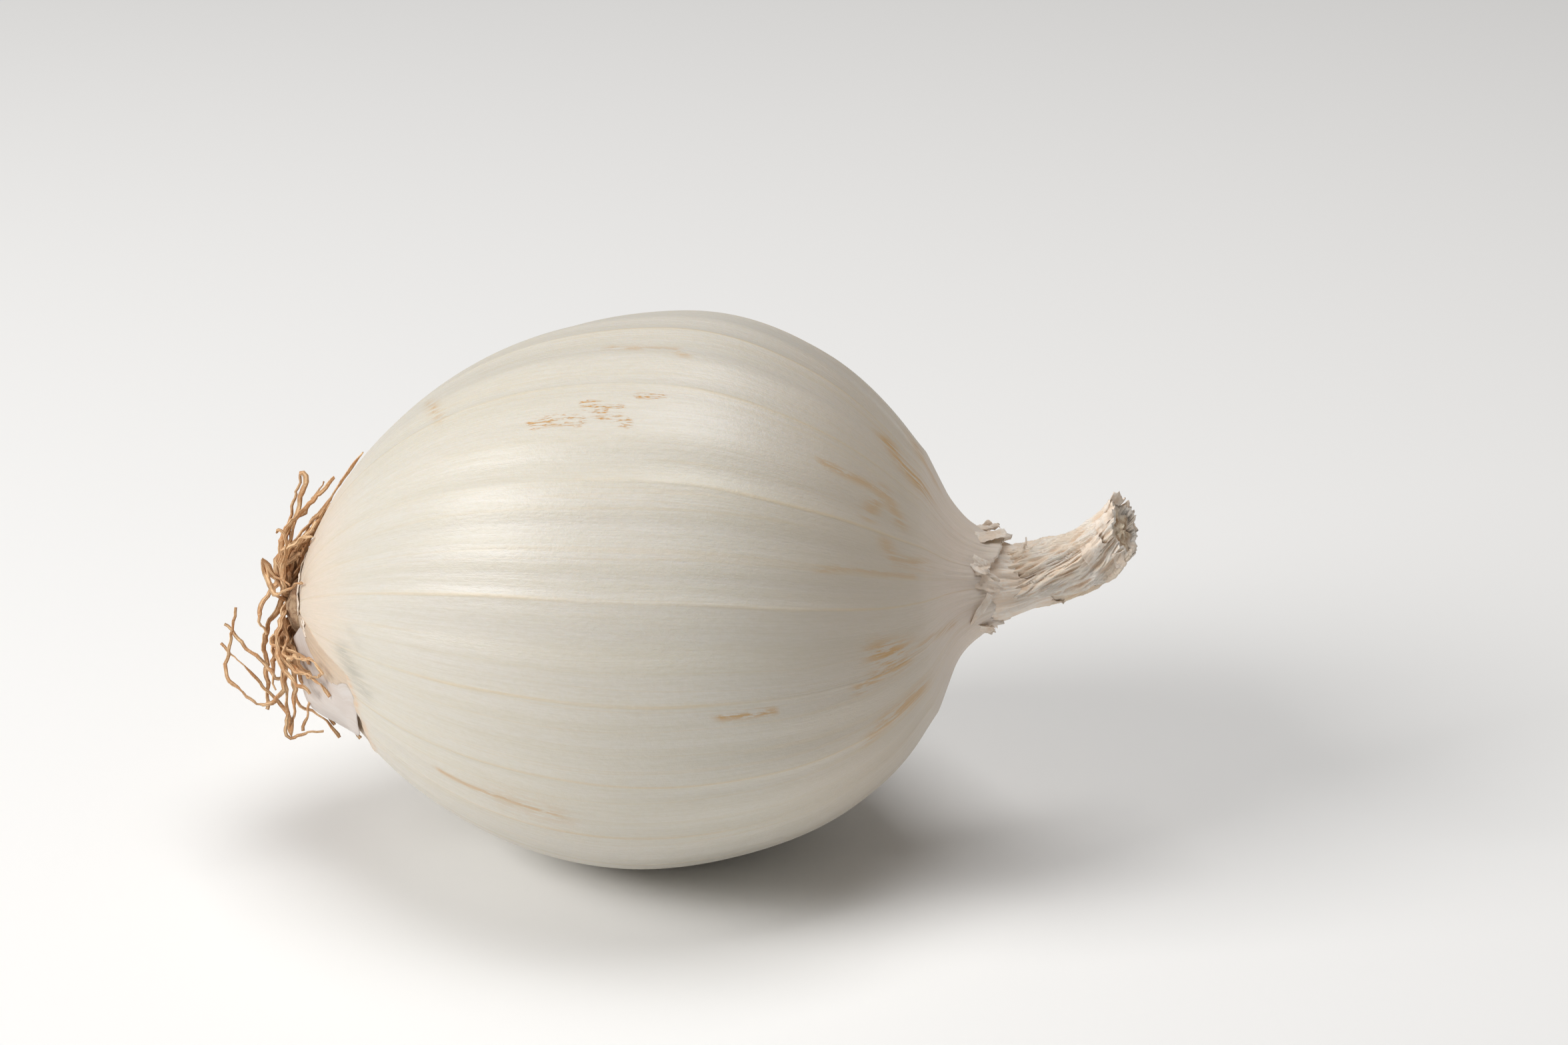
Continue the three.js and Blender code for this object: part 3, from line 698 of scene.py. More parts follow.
# The marks, the bare layer and its torn rim, and last the grain of the paper.
ochre = maths(tree, "MULTIPLY", attribute_of(tree, "ochre"), ramped(tree, speckle, 0.42, 0.54))
skin = tinted(tree, skin, STAIN_OCHRE, ochre, 0.95)
crack_noise = streaked(tree, skin_places, 92, 30, 2.0, 0.6)
crack = inverse(tree, ramped(tree, off_middle(tree, crack_noise), 0.016, 0.06))
crack = maths(tree, "MULTIPLY", crack, ramped(tree, speckle, 0.4, 0.56))
scratch = maths(tree, "MULTIPLY", ramped(tree, attribute_of(tree, "scratch"), 0.3, 0.75), crack)
skin = mixed(tree, scratch, skin, SCRATCH_RUST)
skin = tinted(tree, skin, BARE_BROWN, attribute_of(tree, "bare"), 0.8)
# A greyish patch by the tear and the crease near the root end.
grey = maths(tree, "MULTIPLY", attribute_of(tree, "grey"), ramped(tree, speckle, 0.3, 0.62))
skin = tinted(tree, skin, PATCH_GREY, grey, 0.75)
rim = maths(tree, "MULTIPLY", attribute_of(tree, "torn_rim"), ramped(tree, speckle, 0.3, 0.6))
skin = tinted(tree, skin, RIM_RUST, rim, 0.7)
skin = tinted(tree, skin, PAPER_SHADE, ramped(tree, paper, 0.42, 0.62), 0.12)
skin = tinted(tree, skin, FIBRE_SHADE, ramped(tree, fibres, 0.42, 0.62), 0.16)
tree.links.new(skin, shader.inputs["Base Color"])

height = maths(tree, "MULTIPLY", fibres, 0.5)
height = maths(tree, "ADD", height, maths(tree, "MULTIPLY", paper, 1.1))
height = maths(tree, "ADD", height, maths(tree, "MULTIPLY", vein_line, 0.6))
height = maths(tree, "ADD", height, streaks)
height = maths(tree, "SUBTRACT", height, maths(tree, "MULTIPLY", scratch, 0.8))
bump = tree.nodes.new("ShaderNodeBump")
bump.inputs["Strength"].default_value = 0.5
bump.inputs["Distance"].default_value = 0.00014
tree.links.new(height, bump.inputs["Height"])
tree.links.new(bump.outputs["Normal"], shader.inputs["Normal"])
rough_skin = maths(tree, "ADD", maths(tree, "MULTIPLY", streaks, 0.22), 0.33)
rough_skin = maths(tree, "ADD", rough_skin, maths(tree, "MULTIPLY", at_neck, 0.22))
tree.links.new(rough_skin, shader.inputs["Roughness"])
shader.inputs["Subsurface Weight"].default_value = 0.25
shader.inputs["Subsurface Radius"].default_value = (0.004, 0.003, 0.002)
shader.inputs["Subsurface Scale"].default_value = 1.0
shader.inputs["Coat Weight"].default_value = 0.08
shader.inputs["Coat Roughness"].default_value = 0.3
shader.inputs["Sheen Weight"].default_value = 0.1
bulb.data.materials.append(bulb_material)
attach(bulb, "root")
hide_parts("bulb")


# The torn skin round the mouth

# Scraps of the dry outer layers that still cling to the collar and round the root plate, and an
# inner layer that hugs the neck. Each is a thin crumpled sheet with a ragged edge, and it grows out
# of the bulb's own skin.

SCRAP_THICKNESS = 0.16
SLEEVE_SIDES = 240
SLEEVE_ROWS = 44
SLEEVE_START = 45.2
SLEEVE_REACH = 6.4
SLEEVE_REACH_BELOW = 5.2
SLEEVE_REACH_ABOVE = 1.5
SLEEVE_TEETH = 0.8
SLEEVE_NECK_RADIUS = 4.3
SLEEVE_COLLAR_GAIN = 2.25
SLEEVE_FOLD = 0.34
SLEEVE_CREASE = 0.2
SLEEVE_DROP = 0.65


def thin_sheet(name, middle, thickness, around=False):
    """A closed sheet on both sides of a grid of points in mm, thinner at its edges."""
    rows, columns = middle.shape[:2]
    if around:
        down = np.gradient(middle, axis=0)
        across = np.roll(middle, -1, axis=1) - np.roll(middle, 1, axis=1)
    else:
        down, across = np.gradient(middle, axis=0), np.gradient(middle, axis=1)
    normal = np.cross(down, across)
    normal /= np.maximum(np.linalg.norm(normal, axis=-1, keepdims=True), 1e-9)
    row, column = np.meshgrid(np.arange(rows), np.arange(columns), indexing="ij")
    edge = np.minimum(row, rows - 1 - row)
    if not around:
        edge = np.minimum(edge, np.minimum(column, columns - 1 - column))
    half = 0.5 * thickness * (0.3 + 0.7 * np.minimum(edge / 3, 1))[..., None]
    points = np.concatenate([middle + half * normal, middle - half * normal]).reshape(-1, 3)
    count = rows * columns
    faces = []
    places = []

    def quad(*corners):
        faces.append([side * count + i * columns + j % columns for side, i, j in corners])
        places.extend([(j / (columns - (0 if around else 1)), i / (rows - 1)) for _, i, j in corners])

    for i in range(rows - 1):
        for j in range(columns if around else columns - 1):
            quad((0, i, j), (0, i + 1, j), (0, i + 1, j + 1), (0, i, j + 1))
            quad((1, i, j), (1, i, j + 1), (1, i + 1, j + 1), (1, i + 1, j))
    for i in range(0 if around else rows - 1):
        last = columns - 1
        quad((0, i, 0), (1, i, 0), (1, i + 1, 0), (0, i + 1, 0))
        quad((0, i, last), (0, i + 1, last), (1, i + 1, last), (1, i, last))
    for j in range(columns if around else columns - 1):
        last = rows - 1
        quad((0, 0, j), (0, 0, j + 1), (1, 0, j + 1), (1, 0, j))
        quad((0, last, j), (1, last, j), (1, last, j + 1), (0, last, j + 1))
    mesh = bpy.data.meshes.new(name)
    mesh.from_pydata(in_place(points).tolist(), [], faces)
    mesh.uv_layers.new(name="skin").data.foreach_set("uv", np.array(places, np.float32).ravel())
    mesh.polygons.foreach_set("use_smooth", [True] * len(mesh.polygons))
    mesh.update()
    piece = bpy.data.objects.new(name, mesh)
    bpy.context.scene.collection.objects.link(piece)
    return piece


# The inner layer: a crumpled funnel from inside the collar on to the neck, longest below.
sleeve_draw = random.Random(5)
sleeve_angles = np.arange(SLEEVE_SIDES) / SLEEVE_SIDES * 2 * np.pi
sleeve_teeth = np.array([sleeve_draw.random() for _ in range(SLEEVE_SIDES // 4)])
sleeve_teeth = np.interp(
    np.arange(SLEEVE_SIDES), np.arange(0, SLEEVE_SIDES, 4), sleeve_teeth, period=SLEEVE_SIDES
)
sleeve_degrees = np.degrees(sleeve_angles)
sleeve_reach = SLEEVE_REACH + SLEEVE_REACH_BELOW * bell(degrees_apart(sleeve_degrees, 215), 0, 48)
sleeve_reach = sleeve_reach + SLEEVE_REACH_ABOVE * bell(degrees_apart(sleeve_degrees, 80), 0, 20)
sleeve_reach = sleeve_reach + SLEEVE_TEETH * sleeve_teeth
sleeve_down = np.linspace(0, 1, SLEEVE_ROWS)[:, None]
sleeve_x = SLEEVE_START + sleeve_reach * sleeve_down
sleeve_cos, sleeve_sin = np.cos(sleeve_angles), np.sin(sleeve_angles)
sleeve_folds = rough(4.5 * sleeve_cos, 4.5 * sleeve_sin, sleeve_x / 5, 41)
sleeve_creases = rough(13 * sleeve_cos, 13 * sleeve_sin, sleeve_x / 4, 42)
sleeve_r = SLEEVE_NECK_RADIUS + SLEEVE_COLLAR_GAIN * (1 - soft_step(sleeve_down, 0.1, 1.0))
sleeve_r = sleeve_r + SLEEVE_FOLD * sleeve_folds + SLEEVE_CREASE * (0.3 - np.abs(sleeve_creases))
sleeve_grid = np.stack(
    [
        sleeve_x,
        sleeve_r * sleeve_cos,
        sleeve_r * sleeve_sin - SLEEVE_DROP + 0.5 * soft_step(sleeve_x, 52, 56),
    ],
    axis=-1,
)
sleeve = thin_sheet("neck_sleeve", sleeve_grid, SCRAP_THICKNESS, around=True)

# The scraps: the two ends of each one's middle line (along the axis in mm, round it in degrees),
# its half width, how far it stands off the collar at its two ends, and how much it curls.
SCRAPS = (
    ((44.6, 118), (48.6, 139), 1.4, (0.1, 0.8), 0.3),
    ((45.6, 142), (48.4, 130), 1.2, (0.2, 0.45), 0.1),
    ((45.6, 146), (50.4, 158), 1.4, (0.1, 0.6), 0.2),
    ((48.7, 164), (45.6, 196), 0.62, (0.8, 0.75), 0.15),
    ((44.8, 206), (48.8, 216), 1.2, (0.1, 0.5), 0.4),
    ((45.2, 236), (48.6, 246), 1.2, (0.1, 0.5), 0.2),
    ((44.6, 96), (51.4, 88), 1.6, (0.1, 0.3), 0.4),
    ((45.0, 60), (49.8, 56), 1.3, (0.1, 0.7), -0.4),
    ((45.0, 24), (49.0, 33), 1.5, (0.1, 1.2), 0.6),
    ((45.2, 340), (49.6, 331), 1.4, (0.1, 1.3), 0.5),
    ((45.0, 300), (48.8, 309), 1.6, (0.1, 0.8), -0.4),
    ((45.0, 272), (48.4, 265), 1.2, (0.1, 0.9), 0.5),
)
SCRAP_ROWS = 26
SCRAP_COLUMNS = 16
COLLAR_MEAN_RADIUS = 7.6
SCRAP_ROOM = 0.25
SCRAP_CRUMPLE = 0.34
scraps = []
for n, (start, end, half_width, stand, curl) in enumerate(SCRAPS):
    scrap_draw = random.Random(60 + n)
    down = np.linspace(0, 1, SCRAP_ROWS)[:, None]
    aside = np.linspace(-1, 1, SCRAP_COLUMNS)[None, :]
    teeth = np.interp(aside, np.linspace(-1, 1, 5), [0.8 * scrap_draw.random() for _ in range(5)])
    bites = []
    for _ in (0, 1):
        bite = [0.4 * scrap_draw.random() for _ in range(7)]
        bites.append(np.interp(down, np.linspace(0, 1, 7), bite))
    run = np.array([end[0] - start[0], math.radians(end[1] - start[1]) * COLLAR_MEAN_RADIUS])
    length = float(np.linalg.norm(run))
    ahead = run / length
    bitten = np.where(aside < 0, bites[0], bites[1]) * np.abs(aside)
    width = half_width * (1 - 0.25 * down**2) * (1 - bitten)
    reach = down * (length + (teeth - 0.5) * down**3)
    x = start[0] + ahead[0] * reach - ahead[1] * width * aside
    sideways = ahead[1] * reach + ahead[0] * width * aside
    angle = math.radians(start[1]) + sideways / COLLAR_MEAN_RADIUS
    crumple = rough(0.9 * reach, 1.1 * width * aside, n, 51)
    crumple = crumple + 0.5 * rough(2.4 * reach, 2.8 * width * aside, n, 52)
    lift = stand[0] + (stand[1] - stand[0]) * down**1.4 + curl * aside * aside * (0.2 + down)
    radius = skin_radius(np.minimum(x, 49)) + SCRAP_ROOM + lift
    radius = radius + SCRAP_CRUMPLE * crumple * (0.35 + down)
    turned = angle + VEIN_TWIST * x
    grid = np.stack([x, radius * np.cos(turned), radius * np.sin(turned) + axis_sag(x)], axis=-1)
    scraps.append(thin_sheet("mouth_scrap_%02d" % (n + 1), grid, SCRAP_THICKNESS))

# Smaller scraps of the same skin stand round the root plate: where each one is round it in degrees,
# the radius it reaches, its half width, and how far it stands off the skin at its two ends.
ROOT_SCRAPS = (
    (96, 8.2, 1.6, 0.05, 0.15),
    (128, 7.6, 1.8, 0.05, 0.2),
    (152, 7.8, 1.6, 0.0, 0.2),
    (166, 8.6, 1.7, -0.3, -0.2),
    (180, 8.2, 1.5, -0.35, -0.2),
    (16, 7.6, 1.6, 0.05, 0.2),
    (300, 8.0, 1.8, 0.05, 0.2),
    (338, 7.4, 1.7, 0.05, 0.2),
)
ROOT_SCRAP_START = 4.8
for n, (middle, outer, half_width, inner_lift, outer_lift) in enumerate(ROOT_SCRAPS):
    scrap_draw = random.Random(90 + n)
    down = np.linspace(0, 1, SCRAP_ROWS)[:, None]
    aside = np.linspace(-1, 1, SCRAP_COLUMNS)[None, :]
    teeth = np.interp(aside, np.linspace(-1, 1, 6), [1.3 * scrap_draw.random() for _ in range(6)])
    radius = ROOT_SCRAP_START + (outer - ROOT_SCRAP_START) * down - (teeth - 0.6) * down**3
    across = half_width * (1 - 0.2 * down) * aside
    crumple = rough(1.1 * radius, 1.3 * across, 7 * n, 53)
    lift = inner_lift + (outer_lift - inner_lift) * down**1.3 + 0.15 * aside * aside * down
    lift = lift + 0.2 * crumple * (0.2 + down)
    turned = math.radians(middle) + across / radius
    grid = np.stack(
        [root_cone_x(radius) - lift, radius * np.cos(turned), radius * np.sin(turned)], axis=-1
    )
    scraps.append(thin_sheet("root_scrap_%02d" % (n + 1), grid[:, ::-1], SCRAP_THICKNESS))


TORN_STRAW = (0.9, 0.76, 0.63, 1)
TORN_PALE = (0.94, 0.86, 0.77, 1)
TORN_SPECK = (0.82, 0.6, 0.4, 1)
TORN_THREAD = (0.8, 0.58, 0.4, 1)


def torn_material(name, threads):
    """Dry torn skin, with this many threads over the width of the piece."""
    material = bpy.data.materials.new(name)
    material.use_nodes = True
    tree = material.node_tree
    shader = tree.nodes["Principled BSDF"]
    place = tree.nodes.new("ShaderNodeTexCoord")
    slow = noisy(tree, place.outputs["Object"], 420, 3.0)
    fine = noisy(tree, place.outputs["Object"], 2600, 3.0, 0.6)
    thread = streaked(tree, layer(tree, "skin"), threads, 5, 3.0, 0.65)
    colour = mixed(tree, ramped(tree, slow, 0.36, 0.64), TORN_STRAW, TORN_PALE)
    colour = tinted(tree, colour, TORN_SPECK, ramped(tree, fine, 0.5, 0.72), 0.25)
    colour = tinted(tree, colour, TORN_THREAD, ramped(tree, thread, 0.48, 0.66), 0.45)
    tree.links.new(colour, shader.inputs["Base Color"])
    bump = tree.nodes.new("ShaderNodeBump")
    bump.inputs["Strength"].default_value = 0.6
    bump.inputs["Distance"].default_value = 0.00022
    tree.links.new(maths(tree, "ADD", thread, maths(tree, "MULTIPLY", fine, 0.4)), bump.inputs["Height"])
    tree.links.new(bump.outputs["Normal"], shader.inputs["Normal"])
    shader.inputs["Roughness"].default_value = 0.6
    shader.inputs["Subsurface Weight"].default_value = 0.04
    shader.inputs["Subsurface Radius"].default_value = (0.001, 0.0008, 0.0006)
    shader.inputs["Subsurface Scale"].default_value = 1.0
    return material


sleeve_material = torn_material("neck_sleeve", 30)
scrap_material = torn_material("torn_skin", 3)
sleeve.data.materials.append(sleeve_material)
for piece in scraps:
    piece.data.materials.append(scrap_material)
for piece in [sleeve] + scraps:
    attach(piece, "root")
    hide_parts("bulb")


# The neck

# The dry leaf sheaths above the bulb, shrunk into a wrinkled stalk that curls up to a slanted cut.
# They wrap each other at a slant, and the cut end shows the brown core.

# The middle of the neck, along the bulb's axis and above it, in mm.
NECK_LINE = (
    (43.4, -0.6),
    (47.0, -0.65),
    (51.0, -0.7),
    (56.0, 0.2),
    (61.0, 1.6),
    (64.6, 3.6),
    (67.5, 6.1),
)
NECK_RADIUS = 4.4
NECK_SUNK_RADIUS = 4.25
NECK_TAPER = 1.0
CUT_SLANT = 0.45
CUT_TURN = 0.7
FOLD_HEIGHTS = (0.3, 0.22, 0.14)
OVERLAP_RIM = 0.35
OVERLAP_STEP = 0.25
NECK_PLEAT = 0.65
NECK_CREASE = 0.75
NECK_WRINKLE = 0.12
NECK_SIDES = 288
NECK_ROWS = 200


def smooth_line(points, count):
    """Even steps along a smooth curve through the points, in mm."""
    points = [Vector(p) for p in points]
    ends = [2 * points[0] - points[1]] + points + [2 * points[-1] - points[-2]]
    fine_steps = []
    for a, b, c, d in zip(ends[:-3], ends[1:-2], ends[2:-1], ends[3:]):
        t1 = math.sqrt((b - a).length)
        t2 = t1 + math.sqrt((c - b).length)
        t3 = t2 + math.sqrt((d - c).length)
        for n in range(24):
            t = t1 + (t2 - t1) * n / 24
            ab = a.lerp(b, t / t1)
            bc = b.lerp(c, (t - t1) / (t2 - t1))
            cd = c.lerp(d, (t - t2) / (t3 - t2))
            abc = ab.lerp(bc, t / t2)
            bcd = bc.lerp(cd, (t - t1) / (t3 - t1))
            fine_steps.append(abc.lerp(bcd, (t - t1) / (t2 - t1)))
    fine_steps.append(points[-1])
    found = np.array(fine_steps)
    gone = np.concatenate([[0], np.cumsum(np.linalg.norm(np.diff(found, axis=0), axis=1))])
    even = np.linspace(0, gone[-1], count)
    return np.stack([np.interp(even, gone, found[:, n]) for n in range(3)], axis=-1)


neck_middle = smooth_line([(x, 0, z) for x, z in NECK_LINE], NECK_ROWS + 1)
neck_ahead = np.gradient(neck_middle, axis=0)
neck_ahead /= np.linalg.norm(neck_ahead, axis=1)[:, None]
neck_across = np.broadcast_to(np.array([0.0, 1.0, 0.0]), neck_ahead.shape)
neck_over = np.cross(neck_ahead, neck_across)

neck_angles = np.arange(NECK_SIDES) / NECK_SIDES * 2 * np.pi
neck_turn, neck_share = np.meshgrid(neck_angles, np.arange(NECK_ROWS + 1) / NECK_ROWS)
neck_free = soft_step(neck_share, 0.2, 0.42)
wound = neck_turn + 1.1 * neck_share
folds = FOLD_HEIGHTS[0] * np.cos(5 * wound + 0.6)
folds = folds + FOLD_HEIGHTS[1] * np.cos(9 * wound - 2.2 * neck_share)
folds = folds + FOLD_HEIGHTS[2] * np.cos(12 * wound + 2.5 * neck_share)
overlap_angle = (neck_turn / np.pi - (0.9 + 0.5 * neck_share) + 1) % 2 - 1
before_rim = 1 - soft_step(overlap_angle, -0.02, 0.015)
overlap = OVERLAP_RIM * bell(overlap_angle, 0, 0.12)
overlap = overlap + OVERLAP_STEP * before_rim * soft_step(overlap_angle, -0.5, 0)
drift = 0.5 * rough(1.2 * np.cos(neck_turn), 1.2 * np.sin(neck_turn), 3 * neck_share, 11)
pleat_turn = wound + 0.45 * drift
pleat = rough(6.5 * np.cos(pleat_turn), 6.5 * np.sin(pleat_turn), 3.2 * neck_share, 12)
crease = rough(12 * np.cos(pleat_turn), 12 * np.sin(pleat_turn), 9.0 * neck_share, 13)
wrinkle = rough(24 * np.cos(pleat_turn), 24 * np.sin(pleat_turn), 20 * neck_share, 14)
pleat_height = NECK_PLEAT * (0.24 - np.abs(pleat)) + NECK_CREASE * (0.2 - np.abs(crease))
pleat_height = pleat_height + NECK_WRINKLE * wrinkle
neck_r = NECK_SUNK_RADIUS + (NECK_RADIUS - NECK_SUNK_RADIUS) * neck_free
neck_r = neck_r - NECK_TAPER * soft_step(neck_share, 0.5, 1)
neck_r = neck_r + neck_free * (folds + overlap)
neck_r = neck_r + (0.2 + 0.8 * soft_step(neck_share, 0.1, 0.3)) * pleat_height
neck_slant = CUT_SLANT * neck_r * np.cos(neck_turn - CUT_TURN) * soft_step(neck_share, 0.6, 1)
neck_length = float(np.linalg.norm(np.diff(neck_middle, axis=0), axis=1).sum())

neck_draw = random.Random(19)
neck_teeth = np.array([neck_draw.random() for _ in range(NECK_SIDES // 4)])
neck_teeth = np.interp(np.arange(NECK_SIDES), np.arange(0, NECK_SIDES, 4), neck_teeth, period=NECK_SIDES)
neck_ragged = 0.35 * np.cos(3 * neck_angles + 0.4) + 0.3 * neck_teeth


def neck_ring(share, radius, push, slant=None):
    """A ring of the neck in mm, at a share of its length, pushed ahead, slanted as the cut is."""
    at = int(round(share * NECK_ROWS))
    sideways = radius[:, None] * np.cos(neck_angles)[:, None] * neck_across[at]
    upwards = radius[:, None] * np.sin(neck_angles)[:, None] * neck_over[at]
    slanted = CUT_SLANT * radius * np.cos(neck_angles - CUT_TURN) if slant is None else slant
    return neck_middle[at] + sideways + upwards + (push + slanted)[:, None] * neck_ahead[at]


unmoved = np.zeros(NECK_SIDES)
neck_rows = [neck_ring(0, np.full(NECK_SIDES, NECK_SUNK_RADIUS / 2), unmoved, unmoved)]
for n in range(NECK_ROWS + 1):
    neck_rows.append(neck_ring(n / NECK_ROWS, neck_r[n], unmoved, neck_slant[n]))

# Over the ragged edge of the cut and down to the core.
neck_edge = neck_r[-1]
for share in (0.35, 0.7, 1.0):
    neck_rows.append(neck_ring(1, neck_edge - 0.05 * share, share * (0.4 + neck_ragged)))
outside_rows = len(neck_rows)
neck_rows.append(neck_ring(1, neck_edge - 0.45, 0.3 + 0.95 * neck_ragged))
core_rough = 0.3 * rough(2.2 * np.cos(neck_angles), 2.2 * np.sin(neck_angles), 0, 15)
neck_rows.append(neck_ring(1, neck_edge - 0.8, -0.4 + 0.3 * neck_ragged))
for radius, push in ((2.4, -0.15), (1.8, -0.2), (1.2, -0.35), (0.6, 0.0)):
    neck_rows.append(neck_ring(1, radius * (1 + core_rough), push + 1.4 * core_rough))
neck_grid = np.array(neck_rows)
neck_total = len(neck_rows)
neck_core = np.zeros(neck_grid.shape[:2])
neck_core[outside_rows + 3 :] = 1
neck_core[outside_rows + 2] = 0.5
# Painted shade: how deep each place lies in a crease of the pleats, for the material to darken.
neck_crease_shade = np.zeros(neck_grid.shape[:2])
neck_crease_shade[1 : NECK_ROWS + 2] = soft_step(-pleat_height, 0.0, 0.16)
neck_inner = np.zeros(neck_grid.shape[:2])
past_rim = soft_step(overlap_angle, 0.0, 0.03)
neck_inner[1 : NECK_ROWS + 2] = past_rim * (1 - soft_step(overlap_angle, 0.3, 0.7))
neck_columns, neck_lengths = np.meshgrid(
    np.arange(NECK_SIDES + 1) / NECK_SIDES, np.arange(neck_total) / NECK_ROWS
)
neck = surface(
    "dry_neck",
    neck_grid,
    True,
    True,
    {"skin": np.stack([neck_columns, neck_lengths], axis=-1)},
    {"core": neck_core, "crease": neck_crease_shade, "inner": neck_inner},
)

STRAW = (0.95, 0.8, 0.65, 1)
PALE_STRAW = (0.98, 0.9, 0.81, 1)
INNER_TAN = (0.84, 0.66, 0.45, 1)
PAINTED_CREASE_SHADE = (0.78, 0.5, 0.29, 1)
STRAND_CREAM = (0.9, 0.84, 0.76, 1)
CORE_BROWN = (0.46, 0.29, 0.16, 1)
CORE_PALE = (0.95, 0.82, 0.64, 1)

neck_material = bpy.data.materials.new("neck_skin")
neck_material.use_nodes = True
tree = neck_material.node_tree
shader = tree.nodes["Principled BSDF"]
neck_places = layer(tree, "skin")
patches = streaked(tree, neck_places, 2.0, 5.0, 3.0)
strands = streaked(tree, neck_places, 34, 9.0, 3.0, 0.65)
hairs = streaked(tree, neck_places, 90, 20.0, 2.0, 0.6)
straw = mixed(tree, ramped(tree, patches, 0.38, 0.62), STRAW, PALE_STRAW)
straw = tinted(tree, straw, INNER_TAN, attribute_of(tree, "inner"), 0.5)
# Painted shade: the creases of the neck are darkened towards brown.
crease_shade_mask = maths(tree, "MULTIPLY", attribute_of(tree, "crease"), ramped(tree, strands, 0.3, 0.6))
straw = tinted(tree, straw, PAINTED_CREASE_SHADE, crease_shade_mask, 0.5)
straw = tinted(tree, straw, STRAND_CREAM, ramped(tree, strands, 0.5, 0.66), 0.25)
place = tree.nodes.new("ShaderNodeTexCoord")
core_noise = noisy(tree, place.outputs["Object"], 700, 4.0, 0.7)
core_colour = mixed(tree, ramped(tree, core_noise, 0.36, 0.62), CORE_BROWN, CORE_PALE)
straw = mixed(tree, attribute_of(tree, "core"), straw, core_colour)
tree.links.new(straw, shader.inputs["Base Color"])
height = maths(tree, "ADD", strands, maths(tree, "MULTIPLY", hairs, 0.5))
bump = tree.nodes.new("ShaderNodeBump")
bump.inputs["Strength"].default_value = 0.7
bump.inputs["Distance"].default_value = 0.0003
tree.links.new(height, bump.inputs["Height"])
tree.links.new(bump.outputs["Normal"], shader.inputs["Normal"])
rough_neck = maths(tree, "ADD", maths(tree, "MULTIPLY", strands, 0.25), 0.5)
tree.links.new(rough_neck, shader.inputs["Roughness"])
shader.inputs["Subsurface Weight"].default_value = 0.08
shader.inputs["Subsurface Radius"].default_value = (0.0015, 0.001, 0.0007)
shader.inputs["Subsurface Scale"].default_value = 1.0
neck.data.materials.append(neck_material)

# Torn ends of the sheaths that stand up at the cut, a lobe on the front and a few loose fibres: the
# two ends of each one's middle line (share of the neck's length, degrees round it), its half width,
# how far it stands off at its two ends, and how much it curls.
NECK_SCRAPS = (
    ((0.78, 158), (0.95, 146), 1.7, (0.1, 0.7), -0.4),
    ((0.90, 108), (1.03, 100), 1.5, (0.05, 0.3), -0.2),
    ((0.94, 60), (1.05, 50), 1.9, (0.0, 0.3), 0.3),
    ((0.93, 206), (1.0, 214), 1.3, (0.05, 0.2), 0.1),
    ((0.93, 330), (1.02, 335), 1.7, (0.05, 0.3), 0.2),
    ((0.93, 12), (1.03, 6), 1.6, (0.05, 0.3), 0.2),
    ((0.93, 262), (1.0, 270), 1.6, (0.05, 0.2), 0.2),
    ((0.43, 96), (0.45, 112), 0.14, (0.0, 1.7), 0.0),
    ((0.44, 92), (0.45, 82), 0.12, (0.0, 1.4), 0.0),
    ((0.50, 226), (0.56, 236), 0.5, (0.05, 0.5), 0.2),
    ((0.30, 214), (0.36, 222), 0.6, (0.05, 0.4), 0.2),
)


def on_neck(share, angle, lift):
    """Places in mm at a share of the neck's length, an angle round it and a height over its skin."""
    row = np.clip(share, 0, 1) * NECK_ROWS
    column = angle / (2 * np.pi) % 1 * NECK_SIDES
    row_0, column_0 = np.floor(row).astype(int), np.floor(column).astype(int)
    row_1, column_1 = np.minimum(row_0 + 1, NECK_ROWS), (column_0 + 1) % NECK_SIDES
    down, over = row - row_0, column - column_0
    column_0 = column_0 % NECK_SIDES
    above = neck_r[row_0, column_0] * (1 - over) + neck_r[row_0, column_1] * over
    under = neck_r[row_1, column_0] * (1 - over) + neck_r[row_1, column_1] * over
    radius = above * (1 - down) + under * down + lift
    steps = np.arange(NECK_ROWS + 1)
    middle = np.stack([np.interp(row, steps, neck_middle[:, n]) for n in range(3)], axis=-1)
    forward = np.stack([np.interp(row, steps, neck_ahead[:, n]) for n in range(3)], axis=-1)
    upward = np.stack([np.interp(row, steps, neck_over[:, n]) for n in range(3)], axis=-1)
    past_cut = np.maximum(share - 1, 0) * neck_length
    push = past_cut + CUT_SLANT * radius * np.cos(angle - CUT_TURN) * soft_step(share, 0.6, 1)
    sideways = (radius * np.cos(angle))[..., None] * np.array([0.0, 1.0, 0.0])
    upwards = (radius * np.sin(angle))[..., None] * upward
    return middle + sideways + upwards + push[..., None] * forward


